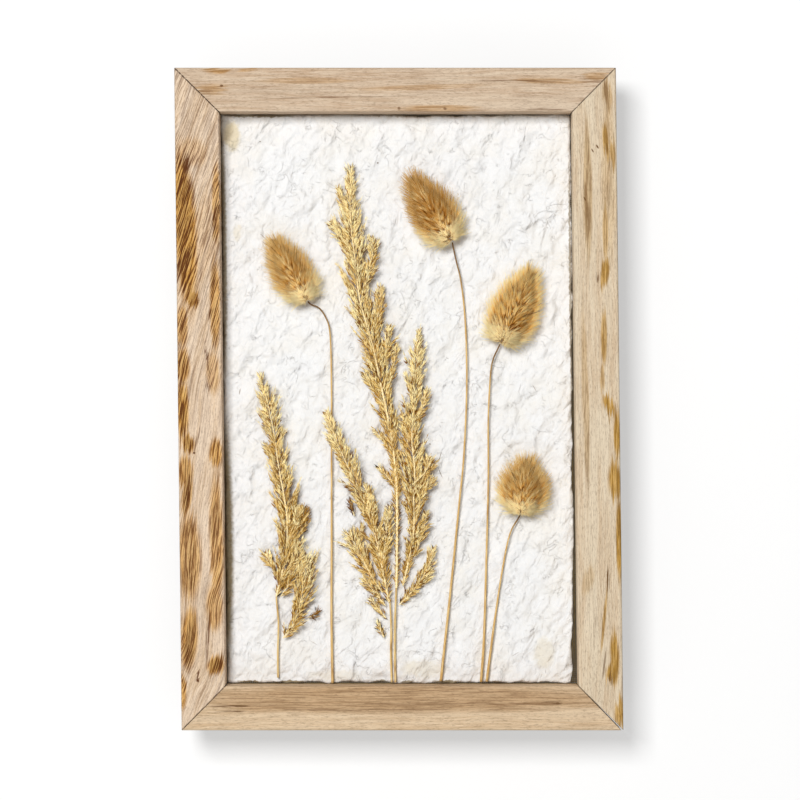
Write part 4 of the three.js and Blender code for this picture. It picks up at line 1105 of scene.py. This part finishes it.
def branchParts(route, reach, thick):
    # A stalk, side spikes that leave it to both sides and husks along them
    length = routeLength(route)
    line, _ = smoothRoute(route, max(8, int(length / 1.5)), faceOn["resting"] + 0.5)
    parts = [rachis(line, [thick, thick * 0.95, thick * 0.8, thick * 0.5, 0.14])]
    if not reach:
        return parts
    reach = [r * grass["spread"] for r in reach]
    count = max(5, int(length * grass["spikes"]))
    share = (np.arange(count) + dice.uniform(0, 1, count)) / count
    at = share * (len(line) - 1)
    low = np.clip(at.astype(int), 0, len(line) - 2)
    part = (at - low)[:, None]
    foot = line[low] * (1 - part) + line[low + 1] * part
    run = unit(np.gradient(line, axis=0))[low]
    side = unit(np.stack([run[:, 1], -run[:, 0], np.zeros(count)], axis=1))
    up = unit(np.cross(side, run))
    turn = np.where(np.arange(count) % 2, math.pi, 0) + dice.normal(0, 0.75, count)
    rise = np.abs(np.sin(turn)) * 0.6 - 0.1
    out = unit(side * np.cos(turn)[:, None] + up * rise[:, None])
    angle = np.radians(dice.normal(grass["angle"], 7, count)) * np.minimum(1, 4 * (1 - share) + 0.7)
    wide = np.interp(share, np.linspace(0, 1, len(reach)), reach)
    spike = np.clip((wide - 0.3) / math.sin(math.radians(grass["angle"])), 0.9, 15)
    spike *= dice.uniform(0.45, 1.15, count)
    spike *= np.minimum(1, 3.5 * (1 - share) + 0.4)
    heading = run * np.cos(angle)[:, None] + out * np.sin(angle)[:, None]
    bend = (run - out * 0.8) * (spike * np.sin(angle) * dice.uniform(0, 0.4, count))[:, None]
    tint = dice.uniform(0, 1, count)
    parts.append(joinedCopies(hair, foot, heading, spike, np.full(count, 0.2), bend,
                              np.stack([np.full(count, 2.0), np.full(count, 0.6)], axis=1)))
    for layer in (grass["under"], grass["upper"]):
        many = np.repeat(np.arange(count), np.maximum(2, (spike * layer["florets"]).astype(int)))
        total = len(many)
        far = dice.uniform(0.12, 0.7 + 0.3 * layer["pale"], total)
        size = layer["husk"] * dice.uniform(0.7, 1.2, total) * (1.1 - 0.3 * far)
        place = (foot[many] + heading[many] * (far * spike[many] - size * 0.3)[:, None]
                 + bend[many] * (far ** 2)[:, None] + dice.normal(0, 0.3, (total, 3)))
        place[:, 2] -= layer["sunk"]
        course = heading[many] + bend[many] * (2 * far / spike[many])[:, None]
        course += dice.normal(0, 0.2, (total, 3))
        # painted light: husks that face out, lie far out along their spike or stand high up the plume get a
        # lighter value, partly the plume's own paler top; the under layer gets none and a dark tone, as
        # painted shade
        lit = 0.05 + 0.4 * rise[many] + 0.35 * far + 0.45 * share[many] ** 2
        light = 0.1 + layer["pale"] * lit
        varied = layer["pale"] * (dice.beta(0.75, 0.65, total) * 0.85 - 0.1)
        shade = 0.1 + 0.15 * tint[many] + varied
        shades = np.stack([np.clip(shade, 0, 1), np.clip(light, 0, 1)], axis=1)
        parts.append(joinedCopies(husk, place, course, size, layer["wide"] * dice.uniform(0.7, 1.25, total),
                                  out[many] * 0.2, shades))
    return parts


def grassMaterial(name, dark):
    material, nodes, shader = newMaterial(name, roughness=0.7, specular=0.1)
    strand = nodes.split(nodes.attribute("strand"))
    place = nodes.attribute("faceOn")
    husks = nodes.ramp(strand["Y"], [
        (0.0, tone(100, 66, 22)), (0.1, tone(156, 112, 46)), (0.3, tone(216, 180, 102)),
        (0.5, tone(244, 220, 150)), (0.7, tone(252, 242, 196)), (1.0, tone(255, 253, 230))])
    # painted light and shade: the husk colour is multiplied by a tone running from dark, where a husk gets no
    # painted light, to white, where it gets the most
    paintedLightTones = [tone(110, 72, 34), tone(150, 106, 56), tone(200, 158, 102)] if dark else [
        tone(190, 154, 86), tone(246, 234, 202), tone(255, 252, 240)]
    paintedLightShade = nodes.ramp(strand["Z"], list(zip((0.0, 0.5, 1.0), paintedLightTones)))
    colour = nodes.mix(1.0, husks, paintedLightShade, "MULTIPLY")
    # painted shade: darker at each husk's foot, where the husks overlap
    colour = nodes.mix(nodes.spread(strand["X"], 0.3, 0.0, 0.0, 0.6), colour, tone(146, 106, 42))
    patchy = nodes.noise(place, 0.09, 2.0, 0.5)
    colour = nodes.mix(nodes.spread(patchy, 0.46, 0.62, 0.0, 0.4), colour, tone(206, 160, 70))
    # painted highlight: the most lit husks turn pale cream, partly the plume's own paler top
    if not dark:
        colour = nodes.mix(nodes.spread(strand["Z"], 0.5, 0.85, 0.0, 0.6), colour, tone(255, 242, 188))
    streaks = nodes.noise(nodes.vector("MULTIPLY", place, (4, 0.1, 4)), 1.0)
    culm = nodes.mix(streaks, tone(232, 204, 140), tone(255, 244, 204))
    colour = nodes.mix(nodes.spread(strand["Y"], 1.3, 1.6), colour, culm)
    nodes.feed(shader, "Base Color", colour)
    # painted glow: pale husks and culms give off light in their own colour, dark husks hardly any
    lit = nodes.mix(nodes.spread(strand["Y"], 0.25, 0.85), tone(60, 46, 24), (1, 1, 1, 1))
    glow = grass["darkGlow"] if dark else grass["glow"]
    paintedGlow(nodes, shader, nodes.mix(1.0, colour, lit, "MULTIPLY"), glow)
    ribs = nodes.noise(nodes.vector("MULTIPLY", place, (6, 1.4, 6)), 1.0)
    raised(nodes, shader, ribs, 0.25, 0.00015)
    return material


def makeGrasses():
    tones = tone(248, 232, 182), tone(230, 194, 124), tone(150, 102, 44)
    culm = strawMaterial("culm", *tones, 0.0)
    for name, (route, radius) in grass["culms"].items():
        mesh = stemMesh(name + "_straw", route[::-1], (radius * 0.8, radius, radius))
        finishPiece(name + "_straw", mesh, culm, "straw", name)
    pale, dark = grassMaterial("dryGrass", False), grassMaterial("darkGrass", True)
    for name, branches in grass["plumes"].items():
        parts = []
        for i, (route, reach) in enumerate(branches):
            main = grass["thick"].get(name, grass["otherThick"])
            parts += branchParts(route, reach, grass["branchThick"] if i else main)
        mesh = meshFromParts(name + "_husks", parts)
        material, slotName = (dark, "dark_grass") if "dark" in name else (pale, "dry_grass")
        finishPiece(name + "_husks", mesh, material, slotName, name)
        print(name, "made,", len(mesh.polygons), "faces")


makeGrasses()


# Wall, floor and light
studio = {
    "wall": 0.0215,  # as the frame hangs a little off it
    "floor": -0.9, "size": 6,
    "key": {"place": (-0.53, -1.95, 0.46), "size": 0.64, "power": 36.5},
    "fill": {"place": (0.9, -2.0, -0.3), "size": 1.8, "power": 3},
    "ambient": 0.2, "sky": (1.0, 0.985, 0.96, 1), "wallTone": 0.55, "glow": 0.44,
    # the wall doesn't glow behind the frame, which leaves a painted shade there: half its width and height,
    # its middle and a soft rim
    "paintedShadeHalfSize": (0.1, 0.15), "middle": -0.14, "rim": (-0.012, -0.004),
}


def plainSheet(name, matrix, colour, seeThroughBack):
    bm = bmesh.new()
    bmesh.ops.create_grid(bm, x_segments=1, y_segments=1, size=studio["size"] / 2, matrix=matrix)
    sheet = bpy.data.objects.new(name, meshOf(name, bm))
    bpy.context.scene.collection.objects.link(sheet)
    material, nodes, shader = newMaterial(name, roughness=0.9, specular=0.0)
    speckle = nodes.noise(nodes.add("ShaderNodeTexCoord").outputs["Object"], 30.0, 3.0)
    shade = tuple(c * 0.985 for c in colour[:3]) + (1,)
    nodes.feed(shader, "Base Color", nodes.mix(speckle, shade, colour))
    if seeThroughBack:
        place = nodes.add("ShaderNodeTexCoord").outputs["Object"]
        wide, high = studio["paintedShadeHalfSize"]
        across = nodes.math("ABSOLUTE", nodes.split(place)["X"])
        upward = nodes.math("ABSOLUTE", nodes.math("SUBTRACT", nodes.split(place)["Z"], studio["middle"]))
        beyond = nodes.math("MAXIMUM", nodes.math("SUBTRACT", across, wide),
                            nodes.math("SUBTRACT", upward, high))
        # painted shade: the wall's glow is left out behind the frame
        glowBesidePaintedShade = nodes.mix(nodes.spread(beyond, *studio["rim"]), (0, 0, 0, 1), (1, 1, 1, 1))
        paintedGlow(nodes, shader, glowBesidePaintedShade, studio["glow"])
        through = nodes.add("ShaderNodeBsdfTransparent")
        back = nodes.add("ShaderNodeNewGeometry").outputs["Backfacing"]
        both = nodes.add("ShaderNodeMixShader", i0=back, i1=shader.outputs[0], i2=through.outputs[0])
        output = material.node_tree.nodes["Material Output"]
        nodes.feed(output, "Surface", both.outputs[0])
        for way in ("visible_diffuse", "visible_glossy", "visible_transmission", "visible_shadow"):
            setattr(sheet, way, False)
    sheet.data.materials.append(material)


def addLight(name, place, size, power):
    data = bpy.data.lights.new(name, "AREA")
    data.size = size
    data.energy = power
    light = bpy.data.objects.new(name, data)
    light.location = place
    aim = Vector((0, 0, studio["middle"])) - Vector(place)
    light.rotation_euler = aim.to_track_quat("-Z", "Y").to_euler()
    bpy.context.scene.collection.objects.link(light)


def makeStudio():
    upright = Matrix.Translation((0, studio["wall"], -0.15)) @ Matrix.Rotation(math.pi / 2, 4, "X")
    plainSheet("wall", upright, (studio["wallTone"],) * 3 + (1,), True)
    plainSheet("floor", Matrix.Translation((0, 0, studio["floor"])), (0.8, 0.8, 0.79, 1), False)
    for name in ("key", "fill"):
        addLight(name, studio[name]["place"], studio[name]["size"], studio[name]["power"])
    world = bpy.data.worlds.new("studio")
    world.use_nodes = True
    world.node_tree.nodes["Background"].inputs["Color"].default_value = studio["sky"]
    world.node_tree.nodes["Background"].inputs["Strength"].default_value = studio["ambient"]
    bpy.context.scene.world = world
    bpy.context.scene.view_settings.view_transform = "Standard"
    print("studio made")


makeStudio()
